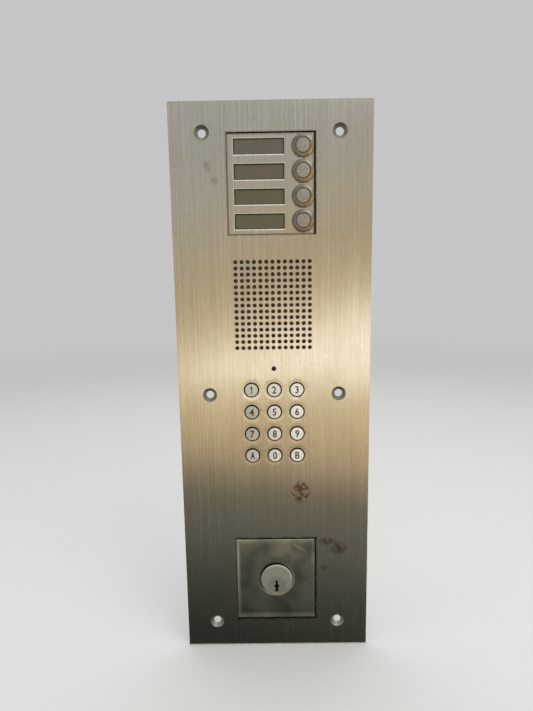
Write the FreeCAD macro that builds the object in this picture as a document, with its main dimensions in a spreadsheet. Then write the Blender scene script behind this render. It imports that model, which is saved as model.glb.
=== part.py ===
"""A wall-mounted door-entry panel: a steel front plate with a call module, a loudspeaker grille,
a microphone hole, a twelve-key pad and a round key lock, with the modules that it carries behind.

The origin is the centre of the fixing holes on the plate's back face. X runs to the right as seen
from the street, Z up, and Y from the street into the wall, so the plate fills y = -3 to 0.
"""

import FreeCAD, Part
import math
import os
import Sketcher

# Every driving size in millimetres, with the place it is used. Counts have no unit.
SIZES = [
    ("plate_width", 160.0, "front plate, side to side"),
    ("plate_height", 465.0, "front plate, top to bottom"),
    ("plate_thick", 3.0, "front plate sheet"),
    ("fixing_span_x", 108.0, "fixing holes, left to right"),
    ("fixing_span_z", 418.0, "fixing holes, bottom pair to top pair"),
    ("fixing_hole", 6.4, "clearance hole for a 6 mm screw"),
    ("fixing_sink", 11.6, "mouth of the 90 degree countersink"),
    ("opening_width", 70.0, "both openings in the front plate"),
    ("call_z", 169.9, "middle of the four call rows"),
    ("call_opening_height", 78.0, "upper opening"),
    ("call_opening_rise", 0.1, "upper opening above the middle of the rows"),
    ("lock_z", -168.15, "middle of the lock plate and its opening"),
    ("lock_opening_height", 77.6, "lower opening"),
    ("row_pitch", 19.05, "call rows and key rows"),
    ("grille_z", 74.5, "middle of the loudspeaker grille"),
    ("grille_hole", 3.0, "sound hole, across its corners"),
    ("grille_pitch", 5.0, "sound holes, both ways"),
    ("grille_columns", 13, "sound holes across"),
    ("grille_rows", 15, "sound holes up"),
    ("grille_sides", 6, "sides of one sound hole"),
    ("bezel_sides", 14, "sides of the buttons and their bezels"),
    ("barrel_sides", 8, "sides of the button barrels and what they hold or pass through"),
    ("speaker_sides", 12, "sides of the loudspeaker's rounds"),
    ("lock_face_sides", 24, "sides of the lock cylinder and of the hole round it"),
    ("lock_sides", 12, "sides of the rounds behind the lock plate"),
    ("mic_sides", 8, "sides of the microphone and capacitors"),
    ("small_sides", 6, "sides of studs, pillars, springs and other small rounds"),
    ("dome_sides", 4, "sides of the rubber domes"),
    ("mic_z", 21.9, "microphone hole"),
    ("mic_hole", 3.5, "microphone hole across"),
    ("keypad_z", -24.7, "middle of the keypad"),
    ("key_hole", 12.5, "key hole in the front plate"),
    ("key_hole_sides", 12, "sides of one key hole"),
    ("insert_shift", -0.6, "both inserts sit left of the middle of their openings"),
    ("call_insert_drop", -0.3, "call panel below the middle of its rows"),
    ("call_insert_width", 68.6, "call panel"),
    ("call_insert_height", 77.0, "call panel"),
    ("insert_thick", 2.8, "call panel sheet, just under flush"),
    ("window_width", 40.0, "name window"),
    ("window_height", 12.1, "name window"),
    ("window_x", -9.7, "middle of the name windows"),
    ("lens_gap", 0.4, "lens smaller than its window"),
    ("lens_sunk", 1.3, "lens below the call panel's face"),
    ("lens_rim", 1.4, "rim of the lens behind the call panel, past the window"),
    ("card_thick", 0.3, "name card"),
    ("carrier_width", 90.0, "sheet carriers behind both openings"),
    ("carrier_height", 92.0, "sheet carriers behind both openings"),
    ("carrier_thick", 1.5, "carrier sheet"),
    ("carrier_stud_x", 41.0, "studs of the carriers, from the middle"),
    ("carrier_stud_z", 42.0, "studs of the carriers, from the middle"),
    ("lamp_box_width", 46.4, "moulded lamp housing"),
    ("lamp_box_height", 77.0, "moulded lamp housing"),
    ("lamp_box_depth", 14.0, "moulded lamp housing"),
    ("lamp_cell_width", 42.0, "one light cell"),
    ("lamp_cell_height", 15.4, "one light cell"),
    ("lamp_cell_depth", 12.5, "one light cell"),
    ("lamp_length", 30.0, "festoon lamp"),
    ("lamp_across", 7.0, "festoon lamp"),
    ("lamp_depth", 8.0, "lamp's axis behind the front plate"),
    ("leaf_thick", 0.6, "lamp contact leaf"),
    ("leaf_height", 7.0, "lamp contact leaf"),
    ("leaf_front", 5.0, "front edge of the contact leaves"),
    ("button_x", 24.9, "middle of the call buttons"),
    ("bezel_across", 17.4, "button bezel"),
    ("bezel_nose", 13.6, "front edge of the bezel's cone"),
    ("bezel_proud", 1.8, "bezel, from the call panel's face"),
    ("bezel_edge", 0.7, "straight edge of the bezel under its cone"),
    ("bezel_bore", 11.4, "mouth of the bezel"),
    ("bezel_lip", 2.0, "depth of the bezel's mouth"),
    ("barrel_across", 16.0, "threaded barrel"),
    ("barrel_length", 18.0, "threaded barrel behind the call panel's face"),
    ("barrel_bore", 13.6, "inside of the barrel"),
    ("barrel_hole", 16.3, "hole for the barrel"),
    ("nut_flats", 18.0, "hexagon nut on the barrel"),
    ("nut_thick", 3.0, "hexagon nut on the barrel"),
    ("button_across", 10.8, "call button cap"),
    ("button_proud", 2.4, "call button cap, from the call panel's face"),
    ("button_flange", 12.8, "shoulder that keeps the button in its bezel"),
    ("button_flange_thick", 1.2, "shoulder of the button"),
    ("button_play", 0.3, "shoulder behind the bezel's lip"),
    ("spring_across", 8.0, "return spring"),
    ("spring_length", 7.0, "return spring at rest"),
    ("switch_across", 12.8, "switch block in the barrel"),
    ("switch_length", 14.0, "switch block in the barrel"),
    ("terminal_width", 2.8, "blade terminal"),
    ("terminal_thick", 0.8, "blade terminal"),
    ("terminal_length", 6.0, "blade terminal"),
    ("terminal_spacing", 6.0, "blade terminals of one switch"),
    ("mesh_width", 66.0, "dust mesh and gasket"),
    ("mesh_height", 76.0, "dust mesh and gasket"),
    ("mesh_thick", 0.5, "dust mesh"),
    ("gasket_thick", 2.5, "foam gasket"),
    ("gasket_bore", 60.0, "foam gasket"),
    ("basket_across", 66.0, "loudspeaker flange"),
    ("basket_flange_thick", 1.2, "loudspeaker flange"),
    ("basket_mouth", 60.0, "loudspeaker basket outside, at its flange"),
    ("basket_back", 33.0, "loudspeaker basket outside, at its back"),
    ("basket_wall", 1.5, "loudspeaker basket"),
    ("basket_depth", 15.0, "loudspeaker basket with its flange"),
    ("basket_window", 9.0, "window in the basket's side, round the axis"),
    ("cone_throat", 15.0, "paper cone at the voice coil"),
    ("cone_mouth", 55.0, "paper cone at its rim"),
    ("cone_depth", 9.0, "paper cone"),
    ("cone_wall", 0.8, "paper cone"),
    ("magnet_across", 34.0, "ring magnet"),
    ("magnet_thick", 9.0, "ring magnet"),
    ("magnet_cap_across", 26.0, "rear pole plate"),
    ("magnet_cap_thick", 2.0, "rear pole plate"),
    ("clip_length", 16.0, "loudspeaker clip"),
    ("clip_width", 10.0, "loudspeaker clip"),
    ("clip_thick", 1.2, "loudspeaker clip"),
    ("clip_x", 34.8, "middle of the clips"),
    ("clip_pillar_x", 38.5, "pillars of the clips"),
    ("clip_z", 18.0, "clips and pillars, from the loudspeaker's middle"),
    ("boot_across", 11.6, "rubber boot of the microphone"),
    ("boot_depth", 7.5, "rubber boot of the microphone"),
    ("boot_front", 1.0, "front wall of the boot"),
    ("capsule_across", 9.7, "microphone capsule"),
    ("strap_length", 32.0, "strap over the microphone"),
    ("strap_width", 6.0, "strap over the microphone"),
    ("strap_thick", 1.0, "strap over the microphone"),
    ("strap_pillar_x", 12.5, "pillars of the strap"),
    ("key_across", 11.4, "key cap"),
    ("key_sides", 12, "sides of one key cap"),
    ("key_proud", 1.0, "key cap, from the front plate's face"),
    ("key_edge", 0.4, "broken edge of the key cap"),
    ("key_play", 0.1, "key shoulder behind the front plate"),
    ("key_flange", 14.0, "square shoulder that keeps the key in and upright"),
    ("key_flange_thick", 1.2, "square shoulder of the key"),
    ("key_cell", 14.6, "cell of the keypad frame"),
    ("keypad_width", 68.0, "keypad frame and board"),
    ("keypad_height", 80.0, "keypad frame and board"),
    ("keypad_frame_depth", 3.4, "keypad frame"),
    ("keypad_stud_x", 31.0, "studs of the keypad"),
    ("keypad_stud_z", 36.5, "studs of the keypad"),
    ("mat_width", 58.0, "rubber mat"),
    ("mat_height", 78.0, "rubber mat"),
    ("mat_thick", 1.0, "rubber mat"),
    ("dome_foot", 11.0, "rubber dome at the mat"),
    ("dome_top", 6.5, "rubber dome at the key"),
    ("dome_rise", 2.0, "rubber dome"),
    ("dome_edge", 0.2, "straight foot of the rubber dome"),
    ("board_thick", 1.6, "both circuit boards"),
    ("header_width", 30.0, "pin header of the keypad"),
    ("header_height", 6.0, "pin header of the keypad"),
    ("header_depth", 9.0, "pin header of the keypad"),
    ("header_z", -30.0, "pin header, from the keypad's middle"),
    ("lock_insert_width", 68.7, "lock plate"),
    ("lock_insert_height", 75.0, "lock plate"),
    ("lock_insert_edge", 2.6, "lock plate at its edges"),
    ("lock_field_rise", 0.5, "raised field of the lock plate"),
    ("lock_field_inset", 1.4, "foot of the raised field, in from the edges"),
    ("lock_field_corner", 9.0, "corner of the raised field"),
    ("lock_field_fall", 0.45, "fall of the field's border"),
    ("lock_field_border", 1.3, "width of the field's border"),
    ("lock_hole", 30.5, "hole for the lock"),
    ("lock_rim", 1.6, "eased rim of the lock hole"),
    ("cylinder_z", -168.4, "middle of the lock"),
    ("cylinder_across", 28.0, "lock cylinder"),
    ("cylinder_proud", 0.7, "lock cylinder, from the raised field"),
    ("cylinder_edge", 0.4, "broken edge of the lock cylinder"),
    ("cylinder_back", 30.0, "rear face of the lock cylinder"),
    ("cylinder_clear", 0.2, "room round the lock cylinder in what holds it"),
    ("plug_across", 12.5, "turning plug"),
    ("plug_drop", 6.5, "plug below the middle of the lock"),
    ("plug_clear", 0.05, "running clearance round the plug"),
    ("keyway_width", 2.8, "lower part of the keyway"),
    ("keyway_height", 7.6, "lower part of the keyway"),
    ("keyway_low", -2.0, "middle of the lower part, from the plug's axis"),
    ("keyway_slit", 1.5, "upper part of the keyway"),
    ("keyway_slit_height", 9.6, "upper part of the keyway"),
    ("keyway_slit_z", 1.1, "middle of the upper part, from the plug's axis"),
    ("keyway_depth", 24.0, "keyway"),
    ("tail_side", 6.0, "square tail of the plug"),
    ("tail_length", 6.5, "square tail of the plug"),
    ("cam_radius", 6.0, "cam at rest, towards the plunger"),
    ("cam_lift", 2.5, "rise of the cam over a quarter turn"),
    ("cam_thick", 3.0, "cam"),
    ("cam_front", 32.5, "front face of the cam"),
    ("cam_gap", 0.3, "cam to plunger"),
    ("housing_across", 36.0, "lock housing"),
    ("housing_foot_width", 54.0, "foot of the lock housing"),
    ("housing_foot_height", 44.0, "foot of the lock housing"),
    ("housing_foot_thick", 3.0, "foot of the lock housing"),
    ("housing_depth", 24.0, "lock housing behind its carrier"),
    ("lock_nut_flats", 35.0, "ring nut of the lock"),
    ("lock_nut_thick", 2.5, "ring nut of the lock"),
    ("bracket_width", 40.0, "switch bracket"),
    ("bracket_height", 39.0, "switch bracket, plate round the lock"),
    ("bracket_thick", 1.5, "switch bracket"),
    ("bracket_arm", 13.0, "switch bracket, arm over the switch"),
    ("key_switch_width", 28.0, "key switch"),
    ("key_switch_height", 13.0, "key switch"),
    ("key_switch_depth", 8.0, "key switch"),
    ("key_switch_front", 30.3, "front face of the key switch"),
    ("plunger_across", 3.2, "plunger of the key switch"),
    ("plunger_tip", 1.6, "tip of the plunger"),
    ("plunger_tip_length", 1.2, "tip of the plunger"),
    ("plunger_well", 7.0, "how far the plunger sits in the switch"),
    ("plunger_clear", 0.3, "room round the plunger"),
    ("stud_across", 3.0, "welded stud"),
    ("stud_notch", 3.8, "slot for a stud"),
    ("stud_length", 6.0, "stud of a carrier"),
    ("keypad_stud_length", 9.5, "stud of the keypad"),
    ("pillar_across", 6.0, "threaded pillar"),
    ("board_z", -94.0, "middle of the control board"),
    ("board_width", 112.0, "control board"),
    ("board_height", 46.0, "control board"),
    ("board_gap", 8.0, "control board behind the front plate"),
    ("board_pillar_x", 51.0, "pillars of the control board"),
    ("board_pillar_z", 18.0, "pillars of the control board"),
    ("block_width", 72.0, "terminal block"),
    ("block_height", 11.0, "terminal block"),
    ("block_depth", 12.0, "terminal block"),
    ("block_z", -14.0, "terminal block, from the board's middle"),
    ("block_entries", 9, "wire entries of the terminal block"),
    ("block_entry", 3.6, "wire entry"),
    ("block_entry_depth", 5.0, "wire entry"),
    ("relay_width", 20.0, "relay"),
    ("relay_height", 15.5, "relay"),
    ("relay_depth", 17.0, "relay"),
    ("relay_x", 28.0, "relay"),
    ("part_row_z", 10.0, "relay, capacitors and trimmers, from the board's middle"),
    ("capacitor_across", 10.0, "capacitor"),
    ("capacitor_depth", 16.0, "capacitor"),
    ("capacitor_x", -38.0, "first capacitor"),
    ("capacitor_pitch", 13.0, "capacitors"),
    ("trimmer_side", 9.5, "level trimmer"),
    ("trimmer_depth", 5.0, "level trimmer"),
    ("trimmer_x", -0.5, "first level trimmer"),
    ("trimmer_pitch", 12.0, "level trimmers"),
]

# Key labels from the top row down, as the panel has them
KEY_ROWS = [
    ("key_1", "key_2", "key_3"),
    ("key_4", "key_5", "key_6"),
    ("key_7", "key_8", "key_9"),
    ("key_a", "key_0", "key_b"),
]
CALL_ROWS = 4

doc = FreeCAD.newDocument("EntryPanel")
sheet = doc.addObject("Spreadsheet::Sheet", "Sizes")
for row, (alias, size, use) in enumerate(SIZES, start=1):
    sheet.set(f"A{row}", alias)
    sheet.set(f"B{row}", str(size))
    sheet.set(f"C{row}", use)
    sheet.setAlias(f"B{row}", alias)
doc.recompute()

sub_parts = []


def number(text):
    """The value of an expression on the sheet."""
    return float(sheet.evalExpression(text))


def new_body(label, x="0", z="0"):
    """A sub-part whose own origin stands at x, z on the front plate's back face."""
    body = doc.addObject("PartDesign::Body", label)
    body.Label = label
    body.AllowCompound = True
    body.setExpression("Placement.Base.x", x)
    body.setExpression("Placement.Base.z", z)
    sub_parts.append(body)
    return body


def origin_feature(body, role):
    return next(item for item in body.Origin.OriginFeatures if item.Role == role)


def sketch_on(body, offset="0", role="XZ_Plane"):
    """A sketch this far along Y from the sub-part's own upright plane, or along another plane's axis."""
    sketch = body.newObject("Sketcher::SketchObject", body.Label + "_sketch")
    sketch.AttachmentSupport = [(origin_feature(body, role), "")]
    sketch.MapMode = "FlatFace"
    sign = "-" if role == "XZ_Plane" else ""
    sketch.setExpression("AttachmentOffset.Base.z", f"{sign}({offset})")
    return sketch


def bind(sketch, constraint, text):
    """Adds a constraint whose size follows an expression."""
    index = sketch.addConstraint(constraint)
    name = f"size_{index}"
    sketch.renameConstraint(index, name)
    sketch.setExpression("Constraints." + name, text)


def place(sketch, geometry, point, x, z):
    """Holds a point of the geometry at x, z."""
    bind(sketch, Sketcher.Constraint("DistanceX", -1, 1, geometry, point, number(x)), x)
    bind(sketch, Sketcher.Constraint("DistanceY", -1, 1, geometry, point, number(z)), z)


def closed_outline(sketch, corners):
    """Straight lines through the corners and back, joined end to end; returns the first one's index."""
    first = sketch.GeometryCount
    count = len(corners)
    for i, corner in enumerate(corners):
        sketch.addGeometry(Part.LineSegment(corner, corners[(i + 1) % count]), False)
    for i in range(count):
        sketch.addConstraint(Sketcher.Constraint("Coincident", first + i, 2, first + (i + 1) % count, 1))
    return first


def rectangle(sketch, width, height, x="0", z="0"):
    """A rectangle centred at x, z."""
    half_w, half_h = number(width) / 2, number(height) / 2
    mid_x, mid_z = number(x), number(z)
    corners = [
        FreeCAD.Vector(mid_x + side * half_w, mid_z + rise * half_h)
        for side, rise in ((-1, -1), (1, -1), (1, 1), (-1, 1))
    ]
    first = closed_outline(sketch, corners)
    for i in (0, 2):
        sketch.addConstraint(Sketcher.Constraint("Horizontal", first + i))
        sketch.addConstraint(Sketcher.Constraint("Vertical", first + i + 1))
    bind(sketch, Sketcher.Constraint("DistanceX", first, 1, first, 2, 2 * half_w), width)
    bind(sketch, Sketcher.Constraint("DistanceY", first + 1, 1, first + 1, 2, 2 * half_h), height)
    place(sketch, first, 1, f"{x} - ({width}) / 2", f"{z} - ({height}) / 2")


def rounded_rectangle(sketch, width, height, corner, x="0"):
    """A rectangle centred at x on the middle line, with three flats round each corner."""
    points = []
    for quarter, (side, rise) in enumerate(((1, 1), (-1, 1), (-1, -1), (1, -1))):
        for step in range(4):
            turn = f"{90 * quarter + 30 * step} deg"
            point_x = f"{x} + {side} * (({width}) / 2 - {corner}) + {corner} * cos({turn})"
            point_z = f"{rise} * (({height}) / 2 - {corner}) + {corner} * sin({turn})"
            points.append((point_x, point_z))
    first = closed_outline(sketch, [FreeCAD.Vector(number(x), number(z)) for x, z in points])
    for i, (point_x, point_z) in enumerate(points):
        place(sketch, first + i, 1, point_x, point_z)


def circle(sketch, across, x="0", z="0"):
    middle = FreeCAD.Vector(number(x), number(z))
    index = sketch.addGeometry(Part.Circle(middle, FreeCAD.Vector(0, 0, 1), number(across) / 2), False)
    bind(sketch, Sketcher.Constraint("Diameter", index, number(across)), across)
    place(sketch, index, 3, x, z)


def many_sided(sketch, across, sides, x="0", z="0", flats=False):
    """A round drawn with equal sides: its corners, or with flats its sides, touch the circle.

    sides is a count, or the sheet's name for one.
    """
    count = sides if isinstance(sides, int) else int(number(f"Sizes.{sides}"))
    if flats:
        across = f"({across}) / cos(180 deg / {count})"
    radius = number(across) / 2
    middle = FreeCAD.Vector(number(x), number(z))
    angles = [-math.pi / 2 + math.pi * (2 * i - 1) / count for i in range(count)]
    corners = [middle + FreeCAD.Vector(math.cos(angle), math.sin(angle)) * radius for angle in angles]
    first = closed_outline(sketch, corners)
    ring = sketch.addGeometry(Part.Circle(middle, FreeCAD.Vector(0, 0, 1), radius), True)
    for i in range(count):
        sketch.addConstraint(Sketcher.Constraint("PointOnObject", first + i, 1, ring))
    for i in range(1, count):
        sketch.addConstraint(Sketcher.Constraint("Equal", first, first + i))
    sketch.addConstraint(Sketcher.Constraint("Horizontal", first))
    bind(sketch, Sketcher.Constraint("Diameter", ring, 2 * radius), across)
    place(sketch, ring, 3, x, z)


def pad(body, sketch, length, back=True):
    """Adds material from the sketch towards the wall, or towards the street where back is False."""
    feature = body.newObject("PartDesign::Pad", body.Label + "_pad")
    feature.Profile = sketch
    feature.Reversed = back
    feature.setExpression("Length", length)
    return feature


def pocket(body, sketch, length=None, back=True):
    """Cuts from the sketch towards the wall, right through where no length is given."""
    feature = body.newObject("PartDesign::Pocket", body.Label + "_pocket")
    feature.Profile = sketch
    feature.Reversed = not back
    if length is None:
        feature.Type = "ThroughAll"
    else:
        feature.setExpression("Length", length)
    return feature


def repeat(body, columns=1, pitch_x="0", rows=1, pitch_z="0", only=None):
    """Repeats the whole sub-part, or one feature of it, to the right and upwards."""
    doc.recompute()
    pattern = body.newObject("PartDesign::LinearPattern", body.Label + "_pattern")
    if only:
        pattern.Originals = [only]
    else:
        pattern.TransformMode = "Whole shape"
    ways = [("X_Axis", columns, pitch_x), ("Z_Axis", rows, pitch_z)]
    for end, (axis, count, pitch) in zip(("", "2"), [way for way in ways if way[1] > 1]):
        setattr(pattern, "Direction" + end, (origin_feature(body, axis), [""]))
        setattr(pattern, "Occurrences" + end, count)
        pattern.setExpression("Length" + end, f"({pitch}) * {count - 1}")
    body.Tip = pattern
    return pattern


def edges_at(feature, depth):
    """Names of the edges that lie wholly at this depth."""
    level = number(depth)
    edges = enumerate(feature.Shape.Edges, start=1)
    return [f"Edge{i}" for i, edge in edges if all(abs(v.Y - level) < 1e-4 for v in edge.Vertexes)]


def chamfer(body, feature, edges, size, size_across=None):
    """Breaks the edges: size runs along Y, and size_across towards the axis where it differs."""
    cut = body.newObject("PartDesign::Chamfer", body.Label + "_chamfer")
    cut.Base = (feature, edges)
    cut.setExpression("Size", size)
    if size_across:
        cut.ChamferType = "Two distances"
        cut.setExpression("Size2", size_across)
    return cut


def dish(body, mouth_depth, mouth, throat, collar, depth, wall):
    """A thin open cone with flat sides: a prism, tapered from its collar back, then shelled."""
    outline = sketch_on(body, mouth_depth)
    many_sided(outline, mouth, "speaker_sides")
    solid = pad(body, outline, depth)
    doc.recompute()
    back_edges = edges_at(solid, f"{mouth_depth} + {depth}")
    tapered = chamfer(body, solid, back_edges, f"{depth} - {collar}", f"({mouth} - ({throat})) / 2")
    doc.recompute()
    level = number(mouth_depth)
    faces = enumerate(tapered.Shape.Faces, start=1)
    open_face = [f"Face{i}" for i, face in faces if all(abs(v.Y - level) < 1e-4 for v in face.Vertexes)]
    shell = body.newObject("PartDesign::Thickness", body.Label + "_shell")
    shell.Base = (tapered, open_face)
    shell.Join = "Intersection"
    shell.Reversed = True
    shell.setExpression("Value", wall)
    return shell


def corner_slots(body, front, stud_x, stud_z, middle_z="0"):
    """Open slots at the four corners, for the studs."""
    slots = sketch_on(body, front)
    for side in (-1, 1):
        for rise in (-1, 1):
            slot_x = f"{side} * ({stud_x} + Sizes.stud_notch)"
            slot_z = f"{middle_z} + {rise} * {stud_z}"
            rectangle(slots, "Sizes.stud_notch * 3", "Sizes.stud_notch", slot_x, slot_z)
    pocket(body, slots)


# Depths that several sub-parts share, measured from the front plate's back face
PLATE_FACE = "-Sizes.plate_thick"
CALL_FACE = "-Sizes.insert_thick"
BEZEL_FACE = "-(Sizes.insert_thick + Sizes.bezel_proud)"
BEZEL_INNER = "-(Sizes.insert_thick + Sizes.bezel_proud - Sizes.bezel_lip)"
BUTTON_SHOULDER = f"{BEZEL_INNER} + Sizes.button_play"
SPRING_FRONT = f"{BUTTON_SHOULDER} + Sizes.button_flange_thick"
SWITCH_FRONT = f"{SPRING_FRONT} + Sizes.spring_length"
CARD_FRONT = "Sizes.carrier_thick - Sizes.card_thick"
BASKET_FRONT = "Sizes.mesh_thick + Sizes.gasket_thick"
BASKET_FLANGE_BACK = f"{BASKET_FRONT} + Sizes.basket_flange_thick"
MAGNET_FRONT = f"{BASKET_FRONT} + Sizes.basket_depth"
MAT_FRONT = "Sizes.keypad_frame_depth"
KEYPAD_BOARD_FRONT = f"{MAT_FRONT} + Sizes.mat_thick"
LOCK_EDGE_FACE = "-Sizes.lock_insert_edge"
LOCK_FACE = "-(Sizes.lock_insert_edge + Sizes.lock_field_rise)"
CYLINDER_FACE = f"{LOCK_FACE} - Sizes.cylinder_proud"
HOUSING_BACK = "Sizes.carrier_thick + Sizes.housing_depth"
BRACKET_BACK = f"{HOUSING_BACK} + Sizes.bracket_thick"
BOARD_FRONT = "Sizes.board_gap"
BOARD_BACK = "Sizes.board_gap + Sizes.board_thick"

# Heights and sides that several sub-parts share
LOWEST_CALL = "Sizes.call_z - 1.5 * Sizes.row_pitch"
LOWEST_KEY = "Sizes.keypad_z - 1.5 * Sizes.row_pitch"
PLUG_Z = "Sizes.cylinder_z - Sizes.plug_drop"
LOCK_HOLE = "Sizes.cylinder_across + 2 * Sizes.cylinder_clear"


def front_plate():
    body = new_body("front_plate")
    outline = sketch_on(body, PLATE_FACE)
    rectangle(outline, "Sizes.plate_width", "Sizes.plate_height")
    call_opening_z = "Sizes.call_z + Sizes.call_opening_rise"
    rectangle(outline, "Sizes.opening_width", "Sizes.call_opening_height", z=call_opening_z)
    rectangle(outline, "Sizes.opening_width", "Sizes.lock_opening_height", z="Sizes.lock_z")
    pad(body, outline, "Sizes.plate_thick")
    doc.recompute()

    fixing = sketch_on(body, PLATE_FACE)
    circle(fixing, "Sizes.fixing_hole", "-Sizes.fixing_span_x / 2", "-Sizes.fixing_span_z / 2")
    hole = body.newObject("PartDesign::Hole", "fixing_hole")
    hole.Profile = fixing
    doc.recompute()
    hole.ThreadType = "None"
    hole.DepthType = "ThroughAll"
    hole.setExpression("Diameter", "Sizes.fixing_hole")
    hole.HoleCutType = "Countersink"
    hole.HoleCutCustomValues = True
    hole.setExpression("HoleCutDiameter", "Sizes.fixing_sink")
    hole.HoleCutCountersinkAngle = 90
    repeat(body, 2, "Sizes.fixing_span_x", 3, "Sizes.fixing_span_z / 2", only=hole)

    key_holes = sketch_on(body, PLATE_FACE)
    many_sided(key_holes, "Sizes.key_hole", "key_hole_sides", "-Sizes.row_pitch", LOWEST_KEY)
    first_key_hole = pocket(body, key_holes)
    repeat(body, 3, "Sizes.row_pitch", 4, "Sizes.row_pitch", only=first_key_hole)

    mic = sketch_on(body, PLATE_FACE)
    many_sided(mic, "Sizes.mic_hole", "small_sides", z="Sizes.mic_z")
    pocket(body, mic)

    grille = sketch_on(body, PLATE_FACE)
    left = "-Sizes.grille_pitch * (Sizes.grille_columns - 1) / 2"
    low = "Sizes.grille_z - Sizes.grille_pitch * (Sizes.grille_rows - 1) / 2"
    many_sided(grille, "Sizes.grille_hole", "grille_sides", left, low)
    first_hole = pocket(body, grille)
    columns, rows = int(number("Sizes.grille_columns")), int(number("Sizes.grille_rows"))
    repeat(body, columns, "Sizes.grille_pitch", rows, "Sizes.grille_pitch", only=first_hole)


def call_panel():
    body = new_body("call_panel", z=LOWEST_CALL)
    outline = sketch_on(body, CALL_FACE)
    middle = "1.5 * Sizes.row_pitch + Sizes.call_insert_drop"
    rectangle(outline, "Sizes.call_insert_width", "Sizes.call_insert_height", "Sizes.insert_shift", middle)
    pad(body, outline, "Sizes.insert_thick")

    windows = sketch_on(body, CALL_FACE)
    rectangle(windows, "Sizes.window_width", "Sizes.window_height", "Sizes.window_x")
    first_window = pocket(body, windows)
    repeat(body, rows=CALL_ROWS, pitch_z="Sizes.row_pitch", only=first_window)

    barrels = sketch_on(body, CALL_FACE)
    many_sided(barrels, "Sizes.barrel_hole", "barrel_sides", "Sizes.button_x")
    first_barrel = pocket(body, barrels)
    repeat(body, rows=CALL_ROWS, pitch_z="Sizes.row_pitch", only=first_barrel)


def call_carrier():
    body = new_body("call_carrier", z=LOWEST_CALL)
    outline = sketch_on(body)
    rectangle(outline, "Sizes.carrier_width", "Sizes.carrier_height", z="1.5 * Sizes.row_pitch")
    pad(body, outline, "Sizes.carrier_thick")

    seats = sketch_on(body)
    seat = "2 * Sizes.lens_rim + Sizes.lens_gap"
    rectangle(seats, f"Sizes.window_width + {seat}", f"Sizes.window_height + {seat}", "Sizes.window_x")
    first_seat = pocket(body, seats)
    repeat(body, rows=CALL_ROWS, pitch_z="Sizes.row_pitch", only=first_seat)

    barrels = sketch_on(body)
    many_sided(barrels, "Sizes.barrel_hole", "barrel_sides", "Sizes.button_x")
    first_barrel = pocket(body, barrels)
    repeat(body, rows=CALL_ROWS, pitch_z="Sizes.row_pitch", only=first_barrel)

    corner_slots(body, "0", "Sizes.carrier_stud_x", "Sizes.carrier_stud_z", "1.5 * Sizes.row_pitch")


def name_lenses():
    body = new_body("name_lenses", "Sizes.window_x", LOWEST_CALL)
    pane_depth = "Sizes.insert_thick - Sizes.lens_sunk"
    pane = sketch_on(body, f"-({pane_depth})")
    rectangle(pane, "Sizes.window_width - Sizes.lens_gap", "Sizes.window_height - Sizes.lens_gap")
    pad(body, pane, pane_depth)
    rim = sketch_on(body)
    rectangle(rim, "Sizes.window_width + 2 * Sizes.lens_rim", "Sizes.window_height + 2 * Sizes.lens_rim")
    pad(body, rim, CARD_FRONT)
    repeat(body, rows=CALL_ROWS, pitch_z="Sizes.row_pitch")


def name_cards():
    body = new_body("name_cards", "Sizes.window_x", LOWEST_CALL)
    card = sketch_on(body, CARD_FRONT)
    rectangle(card, "Sizes.window_width + 2 * Sizes.lens_rim", "Sizes.window_height + 2 * Sizes.lens_rim")
    pad(body, card, "Sizes.card_thick")
    repeat(body, rows=CALL_ROWS, pitch_z="Sizes.row_pitch")


def lamp_housing():
    body = new_body("lamp_housing", "Sizes.window_x", LOWEST_CALL)
    outline = sketch_on(body, "Sizes.carrier_thick")
    rectangle(outline, "Sizes.lamp_box_width", "Sizes.lamp_box_height", z="1.5 * Sizes.row_pitch")
    pad(body, outline, "Sizes.lamp_box_depth")
    cells = sketch_on(body, "Sizes.carrier_thick")
    rectangle(cells, "Sizes.lamp_cell_width", "Sizes.lamp_cell_height")
    first_cell = pocket(body, cells, "Sizes.lamp_cell_depth")
    repeat(body, rows=CALL_ROWS, pitch_z="Sizes.row_pitch", only=first_cell)


def name_lamps():
    body = new_body("name_lamps", "Sizes.window_x", LOWEST_CALL)
    tube = sketch_on(body, "-Sizes.lamp_length / 2", "YZ_Plane")
    many_sided(tube, "Sizes.lamp_across", "small_sides", "Sizes.lamp_depth")
    pad(body, tube, "Sizes.lamp_length", back=False)
    repeat(body, rows=CALL_ROWS, pitch_z="Sizes.row_pitch")


def lamp_contacts():
    body = new_body("lamp_contacts", "Sizes.window_x", LOWEST_CALL)
    leaves = sketch_on(body, "Sizes.leaf_front")
    for side in (-1, 1):
        leaf_x = f"{side} * (Sizes.lamp_length + Sizes.leaf_thick) / 2"
        rectangle(leaves, "Sizes.leaf_thick", "Sizes.leaf_height", leaf_x)
    pad(body, leaves, "Sizes.carrier_thick + Sizes.lamp_cell_depth - Sizes.leaf_front")
    repeat(body, rows=CALL_ROWS, pitch_z="Sizes.row_pitch")


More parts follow.
